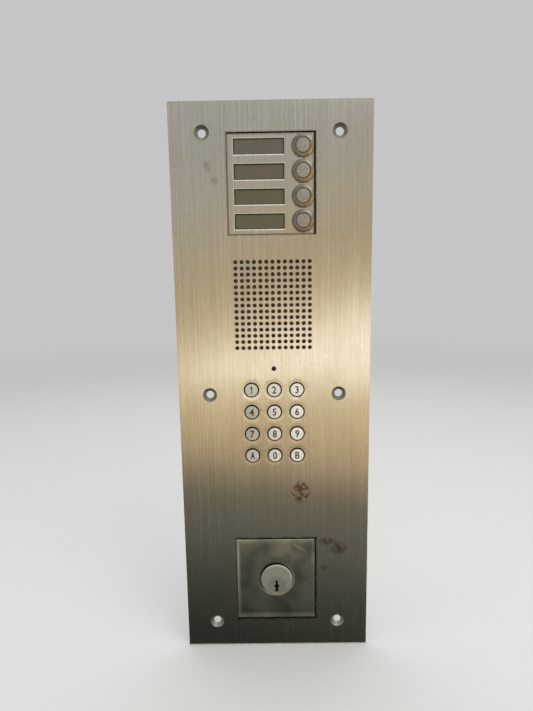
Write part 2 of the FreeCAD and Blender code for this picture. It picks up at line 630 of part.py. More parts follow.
def button_bezels():
    body = new_body("button_bezels", "Sizes.button_x", LOWEST_CALL)
    ring = sketch_on(body, BEZEL_FACE)
    many_sided(ring, "Sizes.bezel_across", "bezel_sides")
    nose = pad(body, ring, "Sizes.bezel_proud")
    doc.recompute()
    slope = "(Sizes.bezel_across - Sizes.bezel_nose) / 2"
    chamfer(body, nose, edges_at(nose, BEZEL_FACE), "Sizes.bezel_proud - Sizes.bezel_edge", slope)
    barrel = sketch_on(body, CALL_FACE)
    many_sided(barrel, "Sizes.barrel_across", "barrel_sides")
    pad(body, barrel, "Sizes.barrel_length")
    mouth = sketch_on(body, BEZEL_FACE)
    many_sided(mouth, "Sizes.bezel_bore", "bezel_sides")
    pocket(body, mouth, "Sizes.bezel_lip")
    bore = sketch_on(body, BEZEL_INNER)
    many_sided(bore, "Sizes.barrel_bore", "barrel_sides")
    pocket(body, bore)
    repeat(body, rows=CALL_ROWS, pitch_z="Sizes.row_pitch")


def button_nuts():
    body = new_body("button_nuts", "Sizes.button_x", LOWEST_CALL)
    ring = sketch_on(body, "Sizes.carrier_thick")
    many_sided(ring, "Sizes.nut_flats", 6, flats=True)
    many_sided(ring, "Sizes.barrel_hole", "barrel_sides")
    pad(body, ring, "Sizes.nut_thick")
    repeat(body, rows=CALL_ROWS, pitch_z="Sizes.row_pitch")


def call_button(row):
    height = f"Sizes.call_z + {1.5 - row} * Sizes.row_pitch"
    body = new_body(f"call_button_{row + 1}", "Sizes.button_x", height)
    cap_face = f"{CALL_FACE} - Sizes.button_proud"
    cap = sketch_on(body, cap_face)
    many_sided(cap, "Sizes.button_across", "bezel_sides")
    pad(body, cap, f"{BUTTON_SHOULDER} - ({cap_face})")
    shoulder = sketch_on(body, BUTTON_SHOULDER)
    many_sided(shoulder, "Sizes.button_flange", "barrel_sides")
    pad(body, shoulder, "Sizes.button_flange_thick")


def button_springs():
    body = new_body("button_springs", "Sizes.button_x", LOWEST_CALL)
    coil = sketch_on(body, SPRING_FRONT)
    many_sided(coil, "Sizes.spring_across", "small_sides")
    pad(body, coil, "Sizes.spring_length")
    repeat(body, rows=CALL_ROWS, pitch_z="Sizes.row_pitch")


def button_switches():
    body = new_body("button_switches", "Sizes.button_x", LOWEST_CALL)
    block = sketch_on(body, SWITCH_FRONT)
    many_sided(block, "Sizes.switch_across", "barrel_sides")
    pad(body, block, "Sizes.switch_length")
    repeat(body, rows=CALL_ROWS, pitch_z="Sizes.row_pitch")


def switch_terminals():
    body = new_body("switch_terminals", "Sizes.button_x", LOWEST_CALL)
    blades = sketch_on(body, f"{SWITCH_FRONT} + Sizes.switch_length")
    for side in (-1, 1):
        blade_x = f"{side} * Sizes.terminal_spacing / 2"
        rectangle(blades, "Sizes.terminal_thick", "Sizes.terminal_width", blade_x)
    pad(body, blades, "Sizes.terminal_length")
    repeat(body, rows=CALL_ROWS, pitch_z="Sizes.row_pitch")


def speaker():
    """The loudspeaker from its dust mesh back to its rear pole plate."""
    mesh = new_body("speaker_mesh", z="Sizes.grille_z")
    sheet_outline = sketch_on(mesh)
    rectangle(sheet_outline, "Sizes.mesh_width", "Sizes.mesh_height")
    pad(mesh, sheet_outline, "Sizes.mesh_thick")

    gasket = new_body("speaker_gasket", z="Sizes.grille_z")
    foam = sketch_on(gasket, "Sizes.mesh_thick")
    rectangle(foam, "Sizes.mesh_width", "Sizes.mesh_height")
    many_sided(foam, "Sizes.gasket_bore", "speaker_sides")
    pad(gasket, foam, "Sizes.gasket_thick")

    basket = new_body("speaker_basket", z="Sizes.grille_z")
    dish(
        basket,
        BASKET_FRONT,
        "Sizes.basket_mouth",
        "Sizes.basket_back",
        "Sizes.basket_flange_thick",
        "Sizes.basket_depth",
        "Sizes.basket_wall",
    )
    rim = sketch_on(basket, BASKET_FRONT)
    many_sided(rim, "Sizes.basket_across", "speaker_sides")
    many_sided(rim, "Sizes.basket_mouth - Sizes.basket_wall", "speaker_sides")
    pad(basket, rim, "Sizes.basket_flange_thick")
    for role in ("YZ_Plane", "XY_Plane"):
        windows = sketch_on(basket, role=role)
        low = f"{BASKET_FLANGE_BACK} + Sizes.basket_wall"
        high = f"{MAGNET_FRONT} - 2 * Sizes.basket_wall"
        middle = f"({low} + {high}) / 2"
        if role == "YZ_Plane":
            rectangle(windows, f"{high} - ({low})", "Sizes.basket_window", middle)
        else:
            rectangle(windows, "Sizes.basket_window", f"{high} - ({low})", "0", middle)
        pocket(basket, windows).Midplane = True

    cone = new_body("speaker_cone", z="Sizes.grille_z")
    dish(
        cone,
        BASKET_FRONT,
        "Sizes.cone_mouth",
        "Sizes.cone_throat",
        "Sizes.cone_wall",
        "Sizes.cone_depth",
        "Sizes.cone_wall",
    )

    magnet = new_body("speaker_magnet", z="Sizes.grille_z")
    ring = sketch_on(magnet, MAGNET_FRONT)
    many_sided(ring, "Sizes.magnet_across", "speaker_sides")
    pad(magnet, ring, "Sizes.magnet_thick")
    pole = sketch_on(magnet, f"{MAGNET_FRONT} + Sizes.magnet_thick")
    many_sided(pole, "Sizes.magnet_cap_across", "speaker_sides")
    pad(magnet, pole, "Sizes.magnet_cap_thick")

    clips = new_body("speaker_clips", "-Sizes.clip_x", "Sizes.grille_z - Sizes.clip_z")
    strip = sketch_on(clips, BASKET_FLANGE_BACK)
    rectangle(strip, "Sizes.clip_length", "Sizes.clip_width")
    pad(clips, strip, "Sizes.clip_thick")
    repeat(clips, 2, "2 * Sizes.clip_x", 2, "2 * Sizes.clip_z")


def microphone():
    boot = new_body("microphone_boot", z="Sizes.mic_z")
    outside = sketch_on(boot)
    many_sided(outside, "Sizes.boot_across", "mic_sides")
    pad(boot, outside, "Sizes.boot_depth")
    mouth = sketch_on(boot)
    many_sided(mouth, "Sizes.mic_hole", "small_sides")
    pocket(boot, mouth)
    inside = sketch_on(boot, "Sizes.boot_front")
    many_sided(inside, "Sizes.capsule_across", "mic_sides")
    pocket(boot, inside)

    capsule = new_body("microphone_capsule", z="Sizes.mic_z")
    can = sketch_on(capsule, "Sizes.boot_front")
    many_sided(can, "Sizes.capsule_across", "mic_sides")
    pad(capsule, can, "Sizes.boot_depth - Sizes.boot_front")

    strap = new_body("microphone_strap", z="Sizes.mic_z")
    strip = sketch_on(strap, "Sizes.boot_depth")
    rectangle(strip, "Sizes.strap_length", "Sizes.strap_width")
    pad(strap, strip, "Sizes.strap_thick")


def keypad():
    """The frame, rubber mat, board and pin header behind the keys."""
    frame = new_body("keypad_frame", z="Sizes.keypad_z")
    outline = sketch_on(frame)
    rectangle(outline, "Sizes.keypad_width", "Sizes.keypad_height")
    pad(frame, outline, "Sizes.keypad_frame_depth")
    cells = sketch_on(frame)
    rectangle(cells, "Sizes.key_cell", "Sizes.key_cell", "-Sizes.row_pitch", "-1.5 * Sizes.row_pitch")
    first_cell = pocket(frame, cells)
    repeat(frame, 3, "Sizes.row_pitch", 4, "Sizes.row_pitch", only=first_cell)
    corner_slots(frame, "0", "Sizes.keypad_stud_x", "Sizes.keypad_stud_z")

    mat = new_body("keypad_mat", "-Sizes.row_pitch", LOWEST_KEY)
    dome_face = f"{MAT_FRONT} - Sizes.dome_rise"
    foot = sketch_on(mat, dome_face)
    many_sided(foot, "Sizes.dome_foot", "dome_sides")
    dome = pad(mat, foot, "Sizes.dome_rise")
    doc.recompute()
    slope = "(Sizes.dome_foot - Sizes.dome_top) / 2"
    chamfer(mat, dome, edges_at(dome, dome_face), "Sizes.dome_rise - Sizes.dome_edge", slope)
    repeat(mat, 3, "Sizes.row_pitch", 4, "Sizes.row_pitch")
    rubber = sketch_on(mat, MAT_FRONT)
    rectangle(rubber, "Sizes.mat_width", "Sizes.mat_height", "Sizes.row_pitch", "1.5 * Sizes.row_pitch")
    pad(mat, rubber, "Sizes.mat_thick")

    board = new_body("keypad_board", z="Sizes.keypad_z")
    laminate = sketch_on(board, KEYPAD_BOARD_FRONT)
    rectangle(laminate, "Sizes.keypad_width", "Sizes.keypad_height")
    pad(board, laminate, "Sizes.board_thick")
    corner_slots(board, KEYPAD_BOARD_FRONT, "Sizes.keypad_stud_x", "Sizes.keypad_stud_z")

    header = new_body("keypad_header", z="Sizes.keypad_z")
    shroud = sketch_on(header, f"{KEYPAD_BOARD_FRONT} + Sizes.board_thick")
    rectangle(shroud, "Sizes.header_width", "Sizes.header_height", z="Sizes.header_z")
    pad(header, shroud, "Sizes.header_depth")


def key(label, column, row):
    height = f"Sizes.keypad_z + {1.5 - row} * Sizes.row_pitch"
    body = new_body(label, f"{column - 1} * Sizes.row_pitch", height)
    cap_face = f"{PLATE_FACE} - Sizes.key_proud"
    cap = sketch_on(body, cap_face)
    many_sided(cap, "Sizes.key_across", "key_sides")
    stem = pad(body, cap, f"Sizes.key_play - ({cap_face})")
    doc.recompute()
    chamfer(body, stem, edges_at(stem, cap_face), "Sizes.key_edge")
    shoulder = sketch_on(body, "Sizes.key_play")
    rectangle(shoulder, "Sizes.key_flange", "Sizes.key_flange")
    pad(body, shoulder, "Sizes.key_flange_thick")


def lock_plate():
    body = new_body("lock_plate", z="Sizes.lock_z")
    edge = sketch_on(body, LOCK_EDGE_FACE)
    rectangle(edge, "Sizes.lock_insert_width", "Sizes.lock_insert_height", "Sizes.insert_shift")
    pad(body, edge, "Sizes.lock_insert_edge")
    field = sketch_on(body, LOCK_EDGE_FACE)
    rounded_rectangle(
        field,
        "Sizes.lock_insert_width - 2 * Sizes.lock_field_inset",
        "Sizes.lock_insert_height - 2 * Sizes.lock_field_inset",
        "Sizes.lock_field_corner",
        "Sizes.insert_shift",
    )
    raised = pad(body, field, "Sizes.lock_field_rise", back=False)
    doc.recompute()
    chamfer(body, raised, edges_at(raised, LOCK_FACE), "Sizes.lock_field_fall", "Sizes.lock_field_border")
    opening = sketch_on(body, LOCK_FACE)
    many_sided(opening, "Sizes.lock_hole", "lock_face_sides", z="Sizes.cylinder_z - Sizes.lock_z")
    bored = pocket(body, opening)
    doc.recompute()
    widest = number("Sizes.lock_hole / 2") + 1e-4
    middle = FreeCAD.Vector(0, number(LOCK_FACE), number("Sizes.cylinder_z - Sizes.lock_z"))
    rim = []
    for i, edge in enumerate(bored.Shape.Edges, start=1):
        if all(vertex.Point.distanceToPoint(middle) < widest for vertex in edge.Vertexes):
            rim.append(f"Edge{i}")
    chamfer(body, bored, rim, "Sizes.lock_rim")


def lock_carrier():
    body = new_body("lock_carrier", z="Sizes.lock_z")
    outline = sketch_on(body)
    rectangle(outline, "Sizes.carrier_width", "Sizes.carrier_height")
    many_sided(outline, LOCK_HOLE, "lock_sides", z="Sizes.cylinder_z - Sizes.lock_z", flats=True)
    pad(body, outline, "Sizes.carrier_thick")
    corner_slots(body, "0", "Sizes.carrier_stud_x", "Sizes.carrier_stud_z")


def lock_body():
    """The housing, the cylinder in it, and the ring nut that draws them together."""
    housing = new_body("lock_housing", z="Sizes.cylinder_z")
    foot = sketch_on(housing, "Sizes.carrier_thick")
    rectangle(foot, "Sizes.housing_foot_width", "Sizes.housing_foot_height")
    pad(housing, foot, "Sizes.housing_foot_thick")
    tube = sketch_on(housing, "Sizes.carrier_thick")
    many_sided(tube, "Sizes.housing_across", "lock_sides")
    pad(housing, tube, "Sizes.housing_depth")
    bore = sketch_on(housing, "Sizes.carrier_thick")
    many_sided(bore, LOCK_HOLE, "lock_sides", flats=True)
    pocket(housing, bore)

    cylinder = new_body("lock_cylinder", z="Sizes.cylinder_z")
    face = sketch_on(cylinder, CYLINDER_FACE)
    many_sided(face, "Sizes.cylinder_across", "lock_face_sides")
    solid = pad(cylinder, face, f"Sizes.cylinder_back - ({CYLINDER_FACE})")
    doc.recompute()
    chamfer(cylinder, solid, edges_at(solid, CYLINDER_FACE), "Sizes.cylinder_edge")
    plug_bore = sketch_on(cylinder, CYLINDER_FACE)
    circle(plug_bore, "Sizes.plug_across + 2 * Sizes.plug_clear", z="-Sizes.plug_drop")
    pocket(cylinder, plug_bore)

    nut = new_body("lock_nut", z="Sizes.cylinder_z")
    ring = sketch_on(nut, BRACKET_BACK)
    many_sided(ring, "Sizes.lock_nut_flats", 6, flats=True)
    many_sided(ring, LOCK_HOLE, "lock_sides", flats=True)
    pad(nut, ring, "Sizes.lock_nut_thick")


def lock_plug():
    body = new_body("lock_plug", z=PLUG_Z)
    face = sketch_on(body, CYLINDER_FACE)
    circle(face, "Sizes.plug_across")
    pad(body, face, f"Sizes.cylinder_back - ({CYLINDER_FACE})")
    lower = sketch_on(body, CYLINDER_FACE)
    rectangle(lower, "Sizes.keyway_width", "Sizes.keyway_height", z="Sizes.keyway_low")
    pocket(body, lower, "Sizes.keyway_depth")
    slit = sketch_on(body, CYLINDER_FACE)
    rectangle(slit, "Sizes.keyway_slit", "Sizes.keyway_slit_height", z="Sizes.keyway_slit_z")
    pocket(body, slit, "Sizes.keyway_depth")
    tail = sketch_on(body, "Sizes.cylinder_back")
    rectangle(tail, "Sizes.tail_side", "Sizes.tail_side")
    pad(body, tail, "Sizes.tail_length")


def lock_cam():
    """A spiral cam: its radius grows evenly over a quarter turn, so the plunger rises with the key."""
    radius, lift = number("Sizes.cam_radius"), number("Sizes.cam_lift")
    front, half_tail = number("Sizes.cam_front"), number("Sizes.tail_side") / 2
    lead_in, step = 30, 15
    rim = []
    for degrees in range(90 - lead_in, 180 + lead_in + 1, step):
        turned = min(max(degrees - 90, 0), 90) / 90
        reach = radius + lift * turned
        angle = math.radians(degrees)
        rim.append(FreeCAD.Vector(reach * math.cos(angle), front, reach * math.sin(angle)))
    back = FreeCAD.Vector(0, front, -radius)
    heel = FreeCAD.Vector(radius * math.cos(math.radians(-30)), front, radius * math.sin(math.radians(-30)))
    outline = Part.makePolygon(rim + [back, heel, rim[0]])
    square = ((-1, -1), (1, -1), (1, 1), (-1, 1), (-1, -1))
    hole = Part.makePolygon([FreeCAD.Vector(x * half_tail, front, z * half_tail) for x, z in square])
    cam = doc.addObject("Part::Feature", "lock_cam")
    cam.Label = "lock_cam"
    thick = FreeCAD.Vector(0, number("Sizes.cam_thick"), 0)
    cam.Shape = Part.Face(outline).extrude(thick).cut(Part.Face(hole).extrude(thick))
    cam.Placement = FreeCAD.Placement(FreeCAD.Vector(0, 0, number(PLUG_Z)), FreeCAD.Rotation())
    sub_parts.append(cam)


def key_switch():
    """The bracket over the lock, the switch under its arm and the plunger that the cam lifts."""
    arm_low = "Sizes.bracket_height / 2 - Sizes.bracket_thick"
    switch_low = f"{arm_low} - Sizes.key_switch_height"
    plunger_depth = "Sizes.cam_front + Sizes.cam_thick / 2"

    bracket = new_body("switch_bracket", z="Sizes.cylinder_z")
    plate = sketch_on(bracket, HOUSING_BACK)
    rectangle(plate, "Sizes.bracket_width", "Sizes.bracket_height")
    many_sided(plate, LOCK_HOLE, "lock_sides", flats=True)
    pad(bracket, plate, "Sizes.bracket_thick")
    arm = sketch_on(bracket, HOUSING_BACK)
    arm_z = f"{arm_low} + Sizes.bracket_thick / 2"
    rectangle(arm, "Sizes.key_switch_width", "Sizes.bracket_thick", z=arm_z)
    pad(bracket, arm, "Sizes.bracket_arm")

    switch = new_body("key_switch", z="Sizes.cylinder_z")
    case = sketch_on(switch, "Sizes.key_switch_front")
    case_z = f"{arm_low} - Sizes.key_switch_height / 2"
    rectangle(case, "Sizes.key_switch_width", "Sizes.key_switch_height", z=case_z)
    pad(switch, case, "Sizes.key_switch_depth")
    well = sketch_on(switch, switch_low, "XY_Plane")
    many_sided(well, "Sizes.plunger_across + 2 * Sizes.plunger_clear", "small_sides", "0", plunger_depth)
    pocket(switch, well, "Sizes.plunger_well + Sizes.cam_lift + Sizes.plunger_clear", back=False)

    plunger = new_body("switch_plunger", z=PLUG_Z)
    tip_low = "Sizes.cam_radius + Sizes.cam_gap"
    tip = sketch_on(plunger, tip_low, "XY_Plane")
    many_sided(tip, "Sizes.plunger_tip", "small_sides", "0", plunger_depth)
    pad(plunger, tip, "Sizes.plunger_tip_length", back=False)
    stem_low = f"{tip_low} + Sizes.plunger_tip_length"
    stem = sketch_on(plunger, stem_low, "XY_Plane")
    many_sided(stem, "Sizes.plunger_across", "small_sides", "0", plunger_depth)
    stem_top = f"Sizes.plug_drop + {switch_low} + Sizes.plunger_well"
    pad(plunger, stem, f"{stem_top} - ({stem_low})", back=False)


def posts(label, across, groups):
    """Posts welded to the back of the front plate, in a rectangle or a row for each module."""
    body = new_body(label)
    for half_x, half_z, middle_z, length, rows in groups:
        foot = sketch_on(body)
        many_sided(foot, across, "small_sides", f"-{half_x}", f"{middle_z} - {half_z}")
        post = pad(body, foot, length)
        repeat(body, 2, f"2 * {half_x}", rows, f"2 * {half_z}", only=post)


def studs_and_pillars():
    stud_x, stud_z = "Sizes.carrier_stud_x", "Sizes.carrier_stud_z"
    posts(
        "weld_studs",
        "Sizes.stud_across",
        (
            (stud_x, stud_z, "Sizes.call_z", "Sizes.stud_length", 2),
            (stud_x, stud_z, "Sizes.lock_z", "Sizes.stud_length", 2),
            ("Sizes.keypad_stud_x", "Sizes.keypad_stud_z", "Sizes.keypad_z", "Sizes.keypad_stud_length", 2),
        ),
    )
    posts(
        "pillars",
        "Sizes.pillar_across",
        (
            ("Sizes.clip_pillar_x", "Sizes.clip_z", "Sizes.grille_z", BASKET_FLANGE_BACK, 2),
            ("Sizes.board_pillar_x", "Sizes.board_pillar_z", "Sizes.board_z", BOARD_FRONT, 2),
            ("Sizes.strap_pillar_x", "0", "Sizes.mic_z", "Sizes.boot_depth", 1),
        ),
    )


def control_board():
    """The amplifier board with its terminal block, relay, capacitors and level trimmers."""
    board = new_body("control_board", z="Sizes.board_z")
    laminate = sketch_on(board, BOARD_FRONT)
    rectangle(laminate, "Sizes.board_width", "Sizes.board_height")
    pad(board, laminate, "Sizes.board_thick")

    block = new_body("terminal_block", z="Sizes.board_z")
    case = sketch_on(block, BOARD_BACK)
    rectangle(case, "Sizes.block_width", "Sizes.block_height", z="Sizes.block_z")
    pad(block, case, "Sizes.block_depth")
    entries = int(number("Sizes.block_entries"))
    pitch = "Sizes.block_width / Sizes.block_entries"
    mouth = sketch_on(block, "Sizes.block_z - Sizes.block_height / 2", "XY_Plane")
    mouth_depth = f"{BOARD_BACK} + Sizes.block_entry"
    first_x = f"-{pitch} * {(entries - 1) / 2}"
    rectangle(mouth, "Sizes.block_entry", "Sizes.block_entry", first_x, mouth_depth)
    first_entry = pocket(block, mouth, "Sizes.block_entry_depth", back=False)
    repeat(block, entries, pitch, only=first_entry)

    relay = new_body("relay", "Sizes.relay_x", "Sizes.board_z + Sizes.part_row_z")
    cover = sketch_on(relay, BOARD_BACK)
    rectangle(cover, "Sizes.relay_width", "Sizes.relay_height")
    pad(relay, cover, "Sizes.relay_depth")

    capacitors = new_body("capacitors", "Sizes.capacitor_x", "Sizes.board_z + Sizes.part_row_z")
    can = sketch_on(capacitors, BOARD_BACK)
    many_sided(can, "Sizes.capacitor_across", "mic_sides")
    pad(capacitors, can, "Sizes.capacitor_depth")
    repeat(capacitors, 3, "Sizes.capacitor_pitch")

    trimmers = new_body("level_trimmers", "Sizes.trimmer_x", "Sizes.board_z + Sizes.part_row_z")
    square = sketch_on(trimmers, BOARD_BACK)
    rectangle(square, "Sizes.trimmer_side", "Sizes.trimmer_side")
    pad(trimmers, square, "Sizes.trimmer_depth")
    repeat(trimmers, 2, "Sizes.trimmer_pitch")


def save():
    """Checks every object and writes one file for each sub-part."""
    doc.recompute()
    for item in doc.Objects:
        if "Invalid" in item.State or "Error" in item.State:
            raise RuntimeError(f"{item.Label} didn't build: {item.getStatusString()}")
    for item in sub_parts:
        if item.Shape.isNull() or not item.Shape.isValid():
            raise RuntimeError(f"{item.Label} has no sound shape")
    os.makedirs("parts", exist_ok=True)
    for item in sub_parts:
        item.Shape.exportStep(f"parts/{item.Label}.step")


front_plate()
call_panel()
call_carrier()
name_lenses()
name_cards()
lamp_housing()
name_lamps()
lamp_contacts()
button_bezels()
button_nuts()
for call_row in range(CALL_ROWS):
    call_button(call_row)
button_springs()
button_switches()
switch_terminals()
speaker()
microphone()
keypad()
for key_row, labels in enumerate(KEY_ROWS):
    for key_column, key_label in enumerate(labels):
        key(key_label, key_column, key_row)
lock_plate()
lock_carrier()
lock_body()
lock_plug()
lock_cam()
key_switch()
studs_and_pillars()
control_board()
save()
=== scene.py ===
"""The looks of a wall-mounted door-entry panel: a brushed steel plate with a call module, a loudspeaker
grille, a microphone hole, a twelve-key pad and a round key lock, and the modules that it carries behind.

Sizes inside the functions are in millimetres, in the part's own frame: X to the right as seen from the
street, Z up, Y from the street into the wall. The plate's back face is y = 0 and its front is y = -3.
"""

import math

import bmesh
import bpy
from bpy.props import FloatProperty, FloatVectorProperty, PointerProperty
from mathutils import Matrix, Vector
from mathutils.geometry import delaunay_2d_cdt, intersect_point_line


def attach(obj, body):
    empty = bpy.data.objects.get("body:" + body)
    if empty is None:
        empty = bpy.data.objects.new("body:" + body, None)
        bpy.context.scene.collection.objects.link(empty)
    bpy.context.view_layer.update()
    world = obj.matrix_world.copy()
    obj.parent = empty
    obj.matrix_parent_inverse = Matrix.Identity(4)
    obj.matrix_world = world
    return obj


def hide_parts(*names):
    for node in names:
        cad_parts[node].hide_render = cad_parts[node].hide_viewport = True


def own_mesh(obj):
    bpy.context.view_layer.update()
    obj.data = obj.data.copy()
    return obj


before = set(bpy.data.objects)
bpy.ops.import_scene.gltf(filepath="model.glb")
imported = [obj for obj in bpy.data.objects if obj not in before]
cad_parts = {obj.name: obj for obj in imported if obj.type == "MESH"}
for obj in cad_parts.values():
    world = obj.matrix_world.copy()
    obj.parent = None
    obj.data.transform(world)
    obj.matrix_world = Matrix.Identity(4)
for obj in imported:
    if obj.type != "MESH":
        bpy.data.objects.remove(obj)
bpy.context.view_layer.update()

bl_info = {
    "name": "Door-entry panel",
    "version": (1, 0, 0),
    "blender": (4, 5, 0),
    "location": "3D View > Sidebar > Entry panel",
    "description": "Builds the visible pieces and finishes of a wall-mounted door-entry panel",
    "category": "Add Mesh",
}

MM = 0.001
TURN = 2 * math.pi
SHARP_EDGE = math.radians(32)
ONE_POINT = 1e-7

# Places and sizes shared by several pieces
PLATE_WIDTH, PLATE_HEIGHT, PLATE_FRONT = 160, 465, -3.0
CALL_X, CALL_MIDDLE, ROW_PITCH = 24.9, 169.9, 19.05
CALL_ROWS = [CALL_MIDDLE + (1.5 - row) * ROW_PITCH for row in range(4)]
WINDOW_X, WINDOW_WIDTH, WINDOW_HEIGHT = -9.7, 40.0, 12.1
GRILLE_MIDDLE, GRILLE_PITCH, SOUND_HOLE = 74.5, 5.0, 3.3
MICROPHONE_Z, MICROPHONE_HOLE = 21.9, 3.9
KEYPAD_MIDDLE, KEY_HOLE, KEY_ACROSS = -24.7, 12.9, 10.9
KEYS = [
    (character, (column - 1) * ROW_PITCH, KEYPAD_MIDDLE + (1.5 - row) * ROW_PITCH)
    for row, characters in enumerate(("123", "456", "789", "A0B"))
    for column, character in enumerate(characters)
]
LOCK_MIDDLE, CYLINDER_Z, PLUG_Z = -168.15, -168.4, -174.9
BOARD_MIDDLE, BOARD_BACK = -94.0, 9.6
FIXING_X, FIXING_Z = 54.0, 209.0
# The plate's two openings and the inserts that sit in them a little to the left, each by middle and height
OPENING_WIDTH, INSERT_X, INSERT_WIDTH = 70, -0.6, 68.6
CALL_OPENING, CALL_INSERT = (CALL_MIDDLE + 0.1, 78.0), (CALL_MIDDLE - 0.3, 77.0)
LOCK_OPENING, LOCK_INSERT = (LOCK_MIDDLE, 77.6), (LOCK_MIDDLE, 75.0)


# Shapes


def circle(x, z, across, sides):
    """A circle that can be drawn larger by an offset."""

    def draw(offset=0.0):
        radius, turn = across / 2 + offset, TURN / sides
        return [(x + radius * math.cos(i * turn), z + radius * math.sin(i * turn)) for i in range(sides)]

    return draw


def box(x, z, width, height, corner, steps=4):
    """A rectangle with round corners that can be drawn larger by an offset."""

    def draw(offset=0.0):
        radius = max(corner + offset, 0.02)
        reach_x, reach_z = width / 2 + offset - radius, height / 2 + offset - radius
        points = []
        for quarter, (side_x, side_z) in enumerate(((1, 1), (-1, 1), (-1, -1), (1, -1))):
            for step in range(steps + 1):
                angle = TURN / 4 * (quarter + step / steps)
                across, up = radius * math.cos(angle), radius * math.sin(angle)
                points.append((x + side_x * reach_x + across, z + side_z * reach_z + up))
        return points

    return draw


def window_edge(x, z, width, height, corner):
    """A window's outline whose lower edge alone moves with the offset, as its sill does."""
    return lambda offset=0.0: box(x, z - offset / 2, width, height + offset, corner, 2)()


def fixed(points):
    """A closed outline that keeps its size."""
    return lambda offset=0.0: list(points)


def eased(profile, ease, steps=3):
    """A profile with its corners rounded, never past the middle of a side."""
    rounded = [profile[0]]
    for before, corner, after in zip(profile, profile[1:], profile[2:]):
        before, corner, after = Vector(before), Vector(corner), Vector(after)
        reach = min(ease, (before - corner).length * 0.49, (after - corner).length * 0.49)
        start = corner + (before - corner).normalized() * reach
        end = corner + (after - corner).normalized() * reach
        for step in range(steps + 1):
            t = step / steps
            rounded.append(tuple(start * (1 - t) ** 2 + corner * 2 * t * (1 - t) + end * t**2))
    return rounded + [profile[-1]]


def through(front, back, ease):
    """Layers of a sheet from front to back, with both edges broken by ease."""
    return [(-ease, front), (-ease * 0.3, front + ease * 0.3), (0, front + ease), (0, back - ease), (-ease, back)]


def opening(front, back, ease):
    """Layers of a hole in a sheet from front to back, with both edges broken by ease."""
    return [(-offset, depth) for offset, depth in through(front, back, ease)]


def bored(front, back, ease):
    """Layers of a hole whose front edge alone is broken by ease."""
    return [(ease, front), (0, front + ease), (0, back)]


